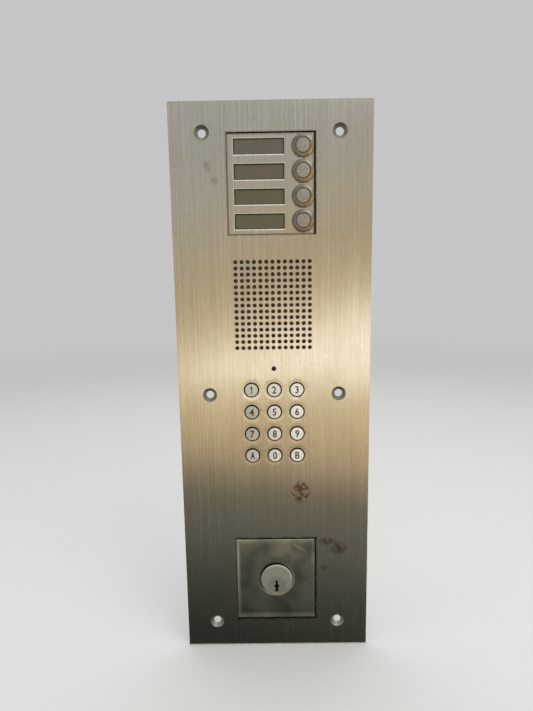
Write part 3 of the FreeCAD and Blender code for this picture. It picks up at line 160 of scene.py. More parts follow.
class Shape:
    """The vertices and faces of one piece, in millimetres, with the finish of each face."""

    def __init__(self):
        self.points, self.faces, self.finishes = [], [], []

    def ring(self, points):
        first = len(self.points)
        self.points.extend(points)
        return list(range(first, first + len(points)))

    def face(self, corners, finish=0):
        self.faces.append(tuple(corners))
        self.finishes.append(finish)

    def bridge(self, first, second, finish=0):
        """A strip of faces from one ring of points to the next. A ring of one point is a tip."""
        count = max(len(first), len(second))
        for i in range(count):
            here, there = (i, (i + 1) % count), ((i + 1) % count, i)
            corners = [first[at % len(first)] for at in here] + [second[at % len(second)] for at in there]
            self.face(dict.fromkeys(corners), finish)

    def skin(self, rings, finish=0, closed=False):
        """Strips of faces from each ring of points to the next, and from the last to the first if closed."""
        for first, second in zip(rings, rings[1:] + rings[: int(closed)]):
            if len(first) + len(second) > 2:
                self.bridge(first, second, finish)

    def fill(self, rings, finish=0):
        """Flat triangles between an outer ring and the rings of its holes."""
        indices = [index for ring in rings for index in ring]
        start = self.points[indices[0]]
        flat = [Vector((self.points[i][0] - start[0], self.points[i][2] - start[2])) for i in indices]
        outlines, first = [], 0
        for ring in rings:
            outlines.append(list(range(first, first + len(ring))))
            first += len(ring)
        made = delaunay_2d_cdt(flat, [], outlines, 2, 1e-6)
        for triangle in made[2]:
            self.face([indices[made[3][corner][0]] for corner in triangle], finish)

    def layered(self, outline, layers):
        """One ring of points for each layer's offset and depth."""
        return [self.ring([(x, depth, z) for x, z in outline(offset)]) for offset, depth in layers]

    def wall(self, outline, layers, finish=0, caps=()):
        """The sides of an outline that runs through layers, with a flat face over the rings named in caps."""
        rings = self.layered(outline, layers)
        self.skin(rings, finish)
        for cap in caps:
            self.face(rings[cap], finish)
        return rings

    def sheet(self, outline, layers, holes=(), deep_finish=None):
        """A flat piece whose outline runs through layers. Each hole has its layers, and may have a finish.
        Where a hole's sides are straight, deep_finish holds."""
        walls = [self.wall(outline, layers)]
        for hole, steps, *own in holes:
            rings = self.layered(hole, steps)
            for i, (first, second) in enumerate(zip(rings, rings[1:])):
                straight = deep_finish is not None and steps[i][0] == steps[i + 1][0]
                self.bridge(first, second, deep_finish if straight else own[0] if own else 0)
            walls.append(rings)
        self.fill([wall[0] for wall in walls])
        self.fill([wall[-1] for wall in walls])
        return self

    def turned(self, x, z, profile, sides, closed=False, finish=0):
        """A round piece about an axis along Y, from a profile of radius and depth."""
        rings = []
        for radius, depth in profile:
            drawn = circle(x, z, 2 * radius, sides)() if radius > 1e-6 else [(x, z)]
            rings.append(self.ring([(px, depth, pz) for px, pz in drawn]))
        self.skin(rings, finish, closed)
        return self

    def tube(self, path, radius, sides=8):
        """A round bar that follows points."""
        path = [Vector(point) for point in path]
        side = (path[1] - path[0]).orthogonal()
        rings = []
        for i, point in enumerate(path):
            ahead = (path[min(i + 1, len(path) - 1)] - path[max(i - 1, 0)]).normalized()
            side = (side - ahead * side.dot(ahead)).normalized()
            other = ahead.cross(side)
            drawn = circle(0, 0, 2 * radius, sides)()
            rings.append(self.ring([tuple(point + side * a + other * b) for a, b in drawn]))
        self.skin(rings)
        self.face(rings[0])
        self.face(rings[-1])

    def piece(self, name, finishes, replaced=None, body="panel", slot=None):
        """The finished object: it rides on a body, and stands for a plain solid. Its slot is not used."""
        names = finishes.split()
        mesh = bpy.data.meshes.new(name)
        mesh.from_pydata([Vector(point) * MM for point in self.points], [], self.faces)
        for finish_name in names:
            mesh.materials.append(finish_of(finish_name))
        mesh.polygons.foreach_set("material_index", self.finishes)
        work = bmesh.new()
        work.from_mesh(mesh)
        bmesh.ops.remove_doubles(work, verts=work.verts, dist=ONE_POINT)
        bmesh.ops.recalc_face_normals(work, faces=work.faces)
        work.to_mesh(mesh)
        work.free()
        mesh.shade_smooth()
        mesh.set_sharp_from_angle(angle=SHARP_EDGE)
        made = bpy.data.objects.new(name, mesh)
        bpy.context.scene.collection.objects.link(made)
        made.modifiers.new("even_shading", "WEIGHTED_NORMAL").keep_sharp = True
        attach(made, body)
        if replaced:
            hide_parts(replaced)
        return made


def character_rings(character, width, height):
    """The outlines of one character, centred, fitted to a width and height. The one has a flag."""
    if character == "1":
        drawn = [(0.42, 1), (-0.05, 1), (-0.72, 0.62), (-0.55, 0.42), (-0.02, 0.70), (-0.02, -1), (0.42, -1)]
        return [[(x * width * 0.75 / 2, z * height / 2) for x, z in drawn]]
    text = bpy.data.curves.new("character", "FONT")
    text.body, text.fill_mode, text.resolution_u = character, "NONE", 3
    carrier = bpy.data.objects.new("character", text)
    bpy.context.scene.collection.objects.link(carrier)
    bpy.context.view_layer.update()
    mesh = bpy.data.meshes.new_from_object(carrier.evaluated_get(bpy.context.evaluated_depsgraph_get()))
    next_to = {}
    for edge in mesh.edges:
        a, b = edge.vertices
        next_to.setdefault(a, []).append(b)
        next_to.setdefault(b, []).append(a)
    points = [(vertex.co.x, vertex.co.y) for vertex in mesh.vertices]
    rings, seen, near = [], set(), 0.01
    for start in next_to:
        ring, here = [], start
        while here is not None and here not in seen:
            seen.add(here)
            if not ring or math.dist(points[here], ring[-1]) > near:
                ring.append(points[here])
            here = next((n for n in next_to[here] if n not in seen), None)
        if ring and math.dist(ring[0], ring[-1]) < near:
            ring.pop()
        if ring:
            rings.append(ring)
    bpy.data.objects.remove(carrier)
    bpy.data.curves.remove(text)
    bpy.data.meshes.remove(mesh)
    low, high = [[pick(p[axis] for ring in rings for p in ring) for axis in (0, 1)] for pick in (min, max)]
    tall = height / (high[1] - low[1])
    wide = min(width / (high[0] - low[0]), tall * 0.85)
    return [
        [((x - (low[0] + high[0]) / 2) * wide, (z - (low[1] + high[1]) / 2) * tall) for x, z in ring]
        for ring in sorted(rings, key=lambda ring: min(point[0] for point in ring))
    ]


def widened(ring, by):
    """A closed ring of points moved outwards by a small distance, or inwards if it is negative. A point
    that comes too near to the old ring is left out."""
    sharpest, clear = 0.35, abs(by) * 0.9
    turned = sum(a[0] * b[1] - b[0] * a[1] for a, b in zip(ring, ring[1:] + ring[:1]))
    sign = by if turned > 0 else -by
    edges = [(Vector(a), Vector(b)) for a, b in zip(ring, ring[1:] + ring[:1])]
    moved = []
    for i, (point, after) in enumerate(edges):
        before = edges[i - 1][0]
        first = Vector((point.y - before.y, before.x - point.x)).normalized()
        second = Vector((after.y - point.y, point.x - after.x)).normalized()
        out = (first + second).normalized()
        there = point + out * sign / max(out.dot(first), sharpest)
        apart = []
        for start, end in edges:
            share = min(max(intersect_point_line(there, start, end)[1], 0), 1)
            apart.append((there - start.lerp(end, share)).length)
        if min(apart) > clear:
            moved.append(tuple(there))
    return moved


# Shading


class Wire:
    """One value inside a material. Sums on wires add the Math nodes that work them out."""

    def __init__(self, tree, socket):
        self.tree, self.socket = tree, socket

    def math(self, operation, first, second=None):
        node = self.tree.nodes.new("ShaderNodeMath")
        node.operation = operation
        feed(self.tree, node.inputs[0], first)
        if second is not None:
            feed(self.tree, node.inputs[1], second)
        return Wire(self.tree, node.outputs[0])

    def __add__(self, other):
        return self.math("ADD", self, other)

    def __radd__(self, other):
        return self.math("ADD", other, self)

    def __sub__(self, other):
        return self.math("SUBTRACT", self, other)

    def __rsub__(self, other):
        return self.math("SUBTRACT", other, self)

    def __mul__(self, other):
        return self.math("MULTIPLY", self, other)

    def __rmul__(self, other):
        return self.math("MULTIPLY", other, self)

    def __truediv__(self, other):
        return self.math("DIVIDE", self, other)

    def __pow__(self, other):
        return self.math("POWER", self, other)

    def __abs__(self):
        return self.math("ABSOLUTE", self)

    def most(self, other):
        return self.math("MAXIMUM", self, other)

    def least(self, other):
        return self.math("MINIMUM", self, other)

    def wave(self):
        return self.math("SINE", self)


def feed(tree, socket, value):
    """Links a wire to a socket, or sets the socket to a number or colour."""
    if isinstance(value, Wire):
        tree.links.new(value.socket, socket)
    elif socket.type == "RGBA" and len(value) == 3:
        socket.default_value = (*value, 1)
    else:
        socket.default_value = value


def far(beside, above):
    """The distance of a place that lies so far beside and above another."""
    return (beside**2 + above**2) ** 0.5


class Finish:
    """One material of the panel, with its surface shader and the nodes behind it."""

    def __init__(self, name):
        self.material = bpy.data.materials.new(name)
        self.material.use_nodes = True
        self.tree = self.material.node_tree
        self.tree.nodes.clear()
        self.surface = self.tree.nodes.new("ShaderNodeBsdfPrincipled")
        self.output = self.tree.nodes.new("ShaderNodeOutputMaterial")
        self.show(Wire(self.tree, self.surface.outputs[0]))
        self.place = self.node("ShaderNodeTexCoord", {}, {}, "Object")
        place = {0: self.scaled(1000, 1000, 1000)}
        self.x, self.y, self.z = [self.node("ShaderNodeSeparateXYZ", {}, place, axis) for axis in range(3)]

    def show(self, shader):
        feed(self.tree, self.output.inputs["Surface"], shader)

    def node(self, kind, settings, values, output=0):
        """A node of this kind, with its settings, then its sockets' values or links."""
        node = self.tree.nodes.new(kind)
        for name, setting in settings.items():
            if name == "stops":
                ramp = node.color_ramp
                while len(ramp.elements) < len(setting):
                    ramp.elements.new(0.5)
                for element, (position, colour) in zip(ramp.elements, setting):
                    element.position, element.color = position, (*colour, 1)
            else:
                setattr(node, name, setting)
        for name, value in values.items():
            feed(self.tree, node.inputs[name], value)
        return Wire(self.tree, node.outputs[output])

    def scaled(self, x, y, z):
        return self.node("ShaderNodeVectorMath", {"operation": "MULTIPLY"}, {0: self.place, 1: (x, y, z)})

    def noise(self, x, y=None, z=None, detail=3.0, roughness=0.55):
        """Soft noise with x, y and z features to the millimetre, or x of them every way."""
        place = self.scaled(x * 1000, (x if y is None else y) * 1000, (x if z is None else z) * 1000)
        values = {"Vector": place, "Scale": 1.0, "Detail": detail, "Roughness": roughness}
        return self.node("ShaderNodeTexNoise", {}, values, "Fac")

    def cells(self, size, output="Distance"):
        """Distance to the nearest of scattered points about size millimetres apart, or its colour."""
        return self.node("ShaderNodeTexVoronoi", {}, {"Vector": self.place, "Scale": 1000 / size}, output)

    def rise(self, value, low, high):
        """0 below low, 1 above high, and smooth between. High may be under low."""
        values = {"Value": value, "From Min": low, "From Max": high}
        return self.node("ShaderNodeMapRange", {"interpolation_type": "SMOOTHSTEP"}, values)

    def from_nearest(self, value, first, pitch, count):
        """How far value is from the nearest of a row of places."""
        place = (value - first) / pitch
        return value - first - place.math("ROUND", place).most(0).least(count - 1) * pitch

    def over_call_row(self):
        """How far above the nearest row of the call module the place is."""
        return self.from_nearest(self.z, CALL_ROWS[-1], ROW_PITCH, len(CALL_ROWS))

    def off_box(self, x, width, z, height):
        """How far the place is from the outline of a rectangle on the front, inside or outside."""
        return abs((abs(self.x - x) - width / 2).most(abs(self.z - z) - height / 2))

    def spot(self, x, z, width, height, edge=0.7):
        """A soft oval about a place on the front, 1 in its middle."""
        return self.rise(far((self.x - x) * (2 / width), (self.z - z) * (2 / height)), 1.0, 1.0 - edge)

    def blend(self, factor, first, second):
        settings = {"data_type": "RGBA", "clamp_factor": True}
        return self.node("ShaderNodeMix", settings, {0: factor, 6: first, 7: second}, 2)

    def paint(self, tone, *coats):
        """A tone with others laid over it in turn, each with how much of it shows."""
        for share, coat in coats:
            tone = self.blend(share, tone, coat)
        return tone

    def bump(self, height, depth, strength=1.0):
        """A relief of depth millimetres where height goes from 0 to 1."""
        values = {"Height": height, "Distance": depth * MM, "Strength": strength}
        return self.node("ShaderNodeBump", {}, values, "Normal")

    def done(self, colour, roughness, relief=None, **others):
        """The material, once its surface has a colour, a roughness, a relief and the values of other sockets."""
        sockets = {"base_color": colour, "roughness": roughness, **others}
        if relief is not None:
            sockets["normal"] = relief
        for name, value in sockets.items():
            feed(self.tree, self.surface.inputs[name.replace("_", " ").title().replace("Ior", "IOR")], value)
        return self.material


FINISHES = {}
made_finishes = {}


def finish(build):
    """Keeps a finish under the name of its function."""
    FINISHES[build.__name__] = build
    return build


def finish_of(name):
    """The material of a finish, made the first time that it is asked for."""
    if name not in made_finishes:
        made_finishes[name] = FINISHES[name](Finish(name))
    return made_finishes[name]


def looks():
    return bpy.context.scene.entry_panel_looks


def steel(f, dirt_and_shade, dish=0.0, stain=0.0, painted_highlight=0.0):
    """Stainless sheet brushed from top to bottom. Where the dirt mask is 1 it is brown with old grease and rust,
    or darkened as a painted shadow; where stain is 1 it is only tarnished, and where the highlight mask is 1
    it is painted pale as a highlight. Where dish falls from 1 to 0 the sheet dips by 0.07 mm."""
    fine = f.noise(2.4, 2.4, 0.012, detail=4)
    streak = f.noise(0.7, 0.7, 0.006, detail=5, roughness=0.7)
    cloud = f.noise(0.035, 0.035, 0.02, detail=5)
    mottle = f.noise(0.5, 0.5, 0.35, detail=4, roughness=0.7)
    speck = f.rise(f.noise(0.5, detail=2), 0.68, 0.76) * f.rise(cloud, 0.45, 0.6)
    grime = f.rise(f.noise(0.12, 0.12, 0.03), 0.5, 0.8) * 0.35
    colour = f.paint(
        looks().steel_shadow,
        (f.rise(streak, 0.3, 0.7), looks().steel),
        (f.rise(cloud, 0.35, 0.75) * 0.35, (0.50, 0.46, 0.38)),
        (f.rise(mottle, 0.45, 0.75) * 0.22, (0.34, 0.30, 0.23)),
        (speck * 0.35, (0.20, 0.17, 0.12)),
        (stain, (0.26, 0.175, 0.11)),
        (painted_highlight, (1.0, 0.92, 0.74)),
        (dirt_and_shade * 0.9, (0.13, 0.070, 0.032)),
    )
    roughness = 0.19 + streak * 0.08 + grime * 0.12 + cloud * 0.06 + dirt_and_shade * 0.25
    relief = f.bump((fine * 0.6 + streak * 0.4) * 0.15 + dish, 0.07)
    return f.done(colour, roughness, relief, metallic=1 - dirt_and_shade * 0.6, anisotropic=0.88)


@finish
def brushed_steel(f):
    """The front plate: handling marks, a little rust, dirt round its openings and a dish round each key."""
    patch = f.noise(0.28, 0.28, 0.2, detail=4)
    smudges = f.spot(-50, 184, 9, 13).most(f.spot(-45, 173, 8, 10)) * 0.45
    for spot in (f.spot(44, -133, 20, 9), f.spot(55, -139, 18, 17), f.spot(42, -157, 9, 9, edge=0.9)):
        smudges = smudges.most(spot)
    rust = f.spot(22.0, -87.0, 19, 23, edge=0.4) * f.rise(f.noise(0.5, detail=4), 0.43, 0.52)
    edges = f.rise(f.off_box(0, OPENING_WIDTH, *CALL_OPENING), 1.3, 0.1) * f.rise(patch, 0.22, 0.5)
    tarnish = f.rise(f.off_box(0, OPENING_WIDTH, *LOCK_OPENING), 1.8, 0.1) * f.rise(patch, 0.36, 0.6)
    beside = f.from_nearest(f.x, -ROW_PITCH, ROW_PITCH, 3)
    from_key = far(beside, f.from_nearest(f.z, KEYPAD_MIDDLE - 1.5 * ROW_PITCH, ROW_PITCH, 4))
    worn = f.rise(from_key, 12.0, 7.0) * f.rise(f.noise(0.3, 0.3, 0.25, detail=4), 0.5, 0.72) * 0.35
    stain = (smudges * f.rise(patch, 0.32, 0.54) * 0.8).most(tarnish).most(rust)
    return steel(f, (edges * 0.85).most(worn), f.rise(from_key, 6.3, 9.4), stain)


@finish
def call_steel(f):
    """The call module's sheet, with brown dirt in its edges, brown dirt and a painted shadow round its bezels, and
    a painted highlight just above and left of its windows.
    """
    patch = f.noise(0.35, detail=4)
    rim = f.rise(f.off_box(INSERT_X, INSERT_WIDTH, *CALL_INSERT), 1.5, 0.1)
    row = f.over_call_row()
    off_window = (abs(f.x - WINDOW_X) - WINDOW_WIDTH / 2).most(abs(row) - WINDOW_HEIGHT / 2)
    # Painted highlight: a pale line just above the top and left edges of each window.
    over = f.rise(row, 5.9, 6.1).most(f.rise(f.x, WINDOW_X - 19.6, WINDOW_X - 19.9))
    painted_highlight = f.rise(off_window, 0.75, 0.35) * over * f.rise(patch, 0.2, 0.4)
    right = f.x - CALL_X
    # Painted shadow, mixed with brown dirt, in a ring just outside each bezel.
    bezel_shadow_and_dirt = f.rise(far(right, row), 10.6, 8.8) * f.rise((right - row) * 0.04 + patch, 0.35, 0.9)
    dirt_and_shade = (rim * f.rise(patch, 0.15, 0.45)).most(bezel_shadow_and_dirt * f.rise(patch, 0.35, 0.6))
    return steel(f, dirt_and_shade * 0.85, painted_highlight=painted_highlight * 0.8)


@finish
def worn_sink(f):
    """The countersinks: turned steel gone brown and dull, with painted shade that darkens the top of each, and
    lighter in the lower pair.
    """
    cloud = f.noise(0.5, detail=4)
    above = f.from_nearest(f.z, -FIXING_Z, FIXING_Z, 3)
    lower_pair = f.rise(f.z, -120, -190)
    colour = f.paint(
        (0.17, 0.15, 0.115),
        (cloud, (0.27, 0.25, 0.20)),
        (lower_pair * 0.6, (0.38, 0.375, 0.35)),
        # Painted shade over the top of each countersink.
        (f.rise(above, 1.0, 5.0) * 0.75, (0.06, 0.045, 0.03)),
    )
    roughness = 0.5 + cloud * 0.15 - lower_pair * 0.12
    return f.done(colour, roughness, f.bump(cloud, 0.03, 0.4), metallic=0.35 + lower_pair * 0.25)


@finish
def sill_steel(f):
    """The bevelled sills of the windows, cut bright, with grease in the corners."""
    fine = f.noise(1.4, 0.6, 0.6, detail=4)
    colour = f.paint((0.80, 0.79, 0.77), (f.rise(fine, 0.4, 0.7) * 0.5, (0.50, 0.46, 0.38)))
    return f.done(colour, 0.32 + fine * 0.15, f.bump(fine, 0.02, 0.3), metallic=0.5)


@finish
def sheet_back(f):
    """The unbrushed back of the steel sheet, with rolling marks and handling haze."""
    cloud = f.noise(0.04, detail=5)
    relief = f.bump(f.noise(0.05, 0.05, 1.4), 0.02, 0.25)
    return f.done(f.blend(cloud, (0.40, 0.39, 0.37), (0.56, 0.55, 0.53)), 0.32 + cloud * 0.2, relief, metallic=1.0)


@finish
def lock_steel(f):
    """The cast lock plate: satin, grey-green with age, its edges rubbed lighter, the left one most."""
    cloud = f.noise(0.05, detail=6, roughness=0.6)
    fine = f.noise(1.6, 1.6, 0.05)
    pits = f.rise(f.noise(0.9, detail=2), 0.66, 0.74)
    edge = f.rise(f.off_box(INSERT_X, INSERT_WIDTH, *LOCK_INSERT), 4.2, 1.2)
    above = f.z - LOCK_MIDDLE
    left = f.rise(f.x, -31.0, -34.0) * f.rise(above, -45, 20)
    foot = f.rise(above, -31.0, -35.5) * (0.4 + cloud)
    right = f.rise(f.x, 27.0, 32.0) * f.rise(above, 18, -5)
    rubbed = (edge * (0.1 + cloud * 0.45 + left * 0.7) * (1 - right * 0.7)).most(foot * 0.6)
    mouth = f.rise(far(f.x + 0.45, f.z - CYLINDER_Z - 0.6), 17.4, 15.6)
    rubbed = rubbed.most(mouth * f.rise(f.x - f.z * 0.6, 85, 108) * 0.7)
    along, slant = f.x - 21, (f.x - 21) * 0.6 + (f.z + 139)
    colour = f.paint(
        (0.26, 0.275, 0.24),
        (f.rise(cloud, 0.3, 0.7), (0.46, 0.46, 0.40)),
        (f.spot(6, LOCK_MIDDLE + 27, 60, 28, edge=0.95) * f.rise(cloud, 0.25, 0.6) * 0.65, (0.62, 0.59, 0.52)),
        (rubbed * 0.75, (0.64, 0.59, 0.47)),
        (f.rise(abs(slant), 1.6, 0.2) * f.rise(abs(along), 7.5, 4.0) * 0.55, (0.85, 0.80, 0.68)),
        (pits * 0.4, (0.14, 0.13, 0.10)),
    )
    relief = f.bump(fine * 0.5 + pits * 0.5, 0.03, 0.3)
    return f.done(colour, 0.34 + cloud * 0.16, relief, metallic=1 - (rubbed * 0.3).least(0.3), anisotropic=0.5)


@finish
def satin_nickel(f):
    """Nickel on the round bezels, worn through to brass at their lower right."""
    fine = f.noise(1.6, detail=4)
    cloud = f.noise(0.25, detail=4)
    lower_right = (f.x - CALL_X) * 0.75 - f.over_call_row() * 0.65
    worn = f.rise(lower_right, 2.0, 7.0) * f.rise(cloud, 0.3, 0.62)
    grime = f.rise(f.noise(0.4), 0.5, 0.72)
    colour = f.paint(
        (0.17, 0.155, 0.13),
        (cloud, (0.28, 0.26, 0.215)),
        (worn * 0.85, (0.36, 0.26, 0.115)),
        (grime * 0.45, (0.10, 0.08, 0.055)),
    )
    roughness = 0.30 + fine * 0.12 + grime * 0.15
    return f.done(colour, roughness, f.bump(fine, 0.02, 0.3), metallic=1 - grime * 0.2)


@finish
def key_nickel(f):
    """The keys' bright satin nickel, rubbed by fingers, painted lighter towards the right and with painted shade
    over the left column.
    """
    blast = f.noise(3.2)
    cloud = f.noise(0.3, detail=4)
    colour = f.paint(
        (0.66, 0.64, 0.58),
        # Painted light and shade: the keys go lighter towards the right and darker over the left column.
        (f.rise(f.x, -26, 20), looks().keys),
        (f.spot(-26, KEYPAD_MIDDLE, 58, 88, edge=0.95) * 0.8, looks().keys_painted_shade),
        (f.rise(cloud, 0.4, 0.75) * 0.25, (0.55, 0.52, 0.45)),
        (f.rise(blast, 0.58, 0.75) * 0.3, (0.36, 0.32, 0.26)),
    )
    return f.done(colour, 0.42 + cloud * 0.12, f.bump(blast, 0.03, 0.45), metallic=0.3)


@finish
def button_nickel(f):
    """The call buttons' nickel, brushed across and greyed by fingers, with painted shade round the edge of each
    cap.
    """
    brushed = (f.noise(0.9, 0.9, 2.6, detail=4) + f.noise(2.6, 2.6, 0.9, detail=4)) * 0.5
    colour = f.paint(
        (0.225, 0.20, 0.17),
        (f.rise(brushed, 0.42, 0.58), (0.41, 0.375, 0.32)),
        # Painted shade: the edge of each cap is darkened.
        (f.rise(far(f.x - CALL_X, f.over_call_row()), 4.7, 5.6) * 0.7, (0.20, 0.165, 0.12)),
    )
    return f.done(colour, 0.40 + brushed * 0.14, f.bump(brushed, 0.03, 0.45), metallic=0.45)


@finish
def brown_edge(f):
    """Walls of the window openings: brown with old lacquer, rusty in the top one."""
    cloud = f.noise(0.3, 0.9, 0.9, detail=4)
    brown = f.blend(cloud, (0.075, 0.045, 0.022), (0.25, 0.155, 0.07))
    rusty = f.blend(cloud, (0.32, 0.155, 0.055), (0.62, 0.33, 0.13))
    colour = f.blend(f.rise(f.z, CALL_ROWS[0] - 9, CALL_ROWS[0] - 7), brown, rusty)
    return f.done(colour, 0.7 + cloud * 0.2, f.bump(cloud, 0.04, 0.5))


@finish
def aged_brass(f):
    """The lock's nickelled brass: a painted highlight on its rim at the upper right, darker round the plug, yellow
    in its scratches.
    """
    fine = f.noise(2.6)
    cloud = f.noise(0.18, detail=5)
    off_plug = far(f.x, f.z - PLUG_Z)
    above = f.z - CYLINDER_Z
    # Painted highlight on the upper right of the rim.
    rim_highlight = f.rise(far(f.x, above), 11.6, 13.0) * f.rise(above + f.x * 0.5, 3.0, 10.0)
    colour = f.paint(
        (0.34, 0.335, 0.285),
        (cloud, (0.475, 0.46, 0.39)),
        (f.rise(off_plug, 12.0, 5.0) * 0.45, (0.22, 0.21, 0.17)),
        (f.rise(fine, 0.55, 0.7) * 0.3, (0.40, 0.34, 0.20)),
        (rim_highlight * 0.6, (0.72, 0.70, 0.62)),
    )
    relief = f.bump((off_plug * 5.5).wave() * 0.3 + fine, 0.012, 0.4)
    return f.done(colour, 0.42 + cloud * 0.14, relief, metallic=0.55)


@finish
def smoked_lens(f):
    """A smoked name window over its blank card: olive, glossy, browner in places, with dust, and with painted shade
    darkening its edges.
    """
    cloud = f.noise(0.07, 0.07, 0.05)
    fine = f.noise(1.1, detail=4)
    dust = f.rise(fine, 0.5, 0.8)
    brown = f.spot(-4, CALL_ROWS[1], 26, 22).most(f.spot(-8, CALL_ROWS[0], 22, 16) * 0.5)
    # Painted shade: each lens is darkened along its edges, under the sheet.
    edge = f.rise(abs(f.over_call_row()), 5.0, 5.8).most(f.rise(abs(f.x - WINDOW_X), 18.8, 19.7))
    colour = f.paint(
        looks().lens,
        (f.rise(f.z, CALL_ROWS[2], CALL_ROWS[0]) * 0.55, (0.135, 0.132, 0.098)),
        (brown.most(f.rise(cloud, 0.55, 0.75) * 0.4) * 0.75, (0.135, 0.100, 0.055)),
        (dust * 0.25, (0.17, 0.165, 0.125)),
        (edge * 0.5, (0.05, 0.042, 0.028)),
    )
    gloss = {"specular_ior_level": 0.6, "coat_roughness": 0.12, "coat_weight": 0.25}
    return f.done(colour, 0.30 + dust * 0.25, f.bump(fine, 0.02, 0.2), **gloss)


@finish
def lamp_glass(f):
    """Glass of the small lamps, clouded at the ends."""
    ends = f.rise(abs(f.x - WINDOW_X), 9.0, 13.5)
    colour = f.blend(ends, (0.80, 0.82, 0.80), (0.42, 0.40, 0.36))
    return f.done(colour, 0.08 + f.noise(0.4) * 0.08, metallic=ends, coat_weight=0.6 - ends * 0.5)


@finish
def dust_cloth(f):
    """Woven dust cloth behind the sound holes, grey with dust."""
    weave = ((f.x * 12.0).wave() * (f.z * 12.0).wave()) * 0.5 + 0.5
    dust = f.rise(f.noise(0.15, detail=4), 0.35, 0.7)
    colour = f.paint((0.10, 0.092, 0.08), (weave, (0.30, 0.285, 0.255)), (dust * 0.5, (0.34, 0.31, 0.25)))
    return f.done(colour, 0.9, f.bump(weave, 0.08, 0.6))


@finish
def foam(f):
    """Open-cell foam."""
    pores = f.rise(f.cells(0.9), 0.15, 0.5)
    return f.done(f.blend(pores, (0.010, 0.010, 0.011), (0.060, 0.058, 0.058)), 0.95, f.bump(pores, 0.25, 0.7))


@finish
def ferrite(f):
    """Sintered magnet, dark and faintly sparkling, with ground faces."""
    grain = f.noise(2.0, detail=4)
    colour = f.blend(grain, (0.028, 0.027, 0.028), (0.085, 0.083, 0.085))
    chips = 0.25 * f.rise(f.cells(2.6), 0.08, 0.2)
    return f.done(colour, 0.45 + grain * 0.2, f.bump(grain, 0.06, 0.45), metallic=chips)


@finish
def circuit_board(f):
    """Green laminate under solder mask, with copper runs and glass weave showing through."""
    weave = (f.x * 6.0).wave() * (f.z * 6.0).wave() * 0.5 + 0.5
    across = f.rise(abs((f.z * 1.05 + (f.x * 0.16).wave() * 1.2).wave()), 0.80, 0.92)
    along = f.rise(abs((f.x * 0.85 + (f.z * 0.22).wave() * 1.4).wave()), 0.84, 0.95)
    region = f.rise(f.noise(0.045, detail=1), 0.48, 0.52)
    tracks = across * region + along * (1 - region)
    dust = f.rise(f.noise(0.1, detail=5), 0.5, 0.8)
    colour = f.paint(
        (0.010, 0.085, 0.035),
        (weave * 0.25, (0.018, 0.13, 0.055)),
        (tracks * 0.8, (0.055, 0.25, 0.095)),
        (dust * 0.25, (0.30, 0.29, 0.24)),
    )
    relief = f.bump(tracks + weave * 0.05, 0.05, 0.6)
    return f.done(colour, 0.28 + dust * 0.3, relief, specular_ior_level=0.5, coat_weight=0.2)


@finish
def capacitor_sleeve(f):
    """Shrunk plastic sleeve with one pale stripe down its side."""
    ripple = f.noise(0.6, 2.0, 0.6)
    stripe = f.rise(f.z - (BOARD_MIDDLE + 13.6), 0.0, 0.25)
    colour = f.paint(
        (0.010, 0.014, 0.035), (ripple, (0.022, 0.030, 0.065)), (stripe * 0.9, (0.45, 0.47, 0.50))
    )
    return f.done(colour, 0.22 + ripple * 0.12, f.bump(ripple, 0.03, 0.4))


def toned(grain, dark, light, gloss, varied=0.0, relief=None, **others):
    """A finish of two tones in one noise, with its roughness, how much of the noise that has, and its relief."""

    def build(f):
        noise = f.noise(*grain)
        roughness = gloss + noise * varied if varied else gloss
        return f.done(f.blend(noise, dark, light), roughness, relief and f.bump(noise, *relief), **others)

    return build


def moulding(light, dark, gloss, grain):
    """A moulded plastic from its two tones, its roughness and the size of its grain."""

    def build(f):
        skin = f.noise(grain)
        dust = f.rise(f.noise(0.12, detail=5), 0.52, 0.75)
        colour = f.paint(dark, (skin, light), (dust * 0.25, (0.45, 0.42, 0.36)))
        return f.done(colour, gloss + dust * 0.2 + skin * 0.05, f.bump(skin, 0.03, 0.35))

    return build


def plated(light, dark, gloss, spangle=0.0):
    """A plated or rolled metal from its two tones and its roughness, with spangle for hot-dipped zinc."""

    def build(f):
        fine = f.noise(1.8, detail=4)
        tone = f.rise(f.noise(0.12, detail=5), 0.3, 0.7)
        if spangle:
            tone = tone * 0.5 + f.cells(spangle, "Color") * 0.5
        stain = f.rise(f.noise(0.3), 0.6, 0.8)
        colour = f.paint(dark, (tone, light), (stain * 0.3, (0.30, 0.27, 0.22)))
        roughness = gloss + stain * 0.2 + fine * 0.08
        return f.done(colour, roughness, f.bump(fine, 0.02, 0.3), metallic=1 - stain * 0.25)

    return build
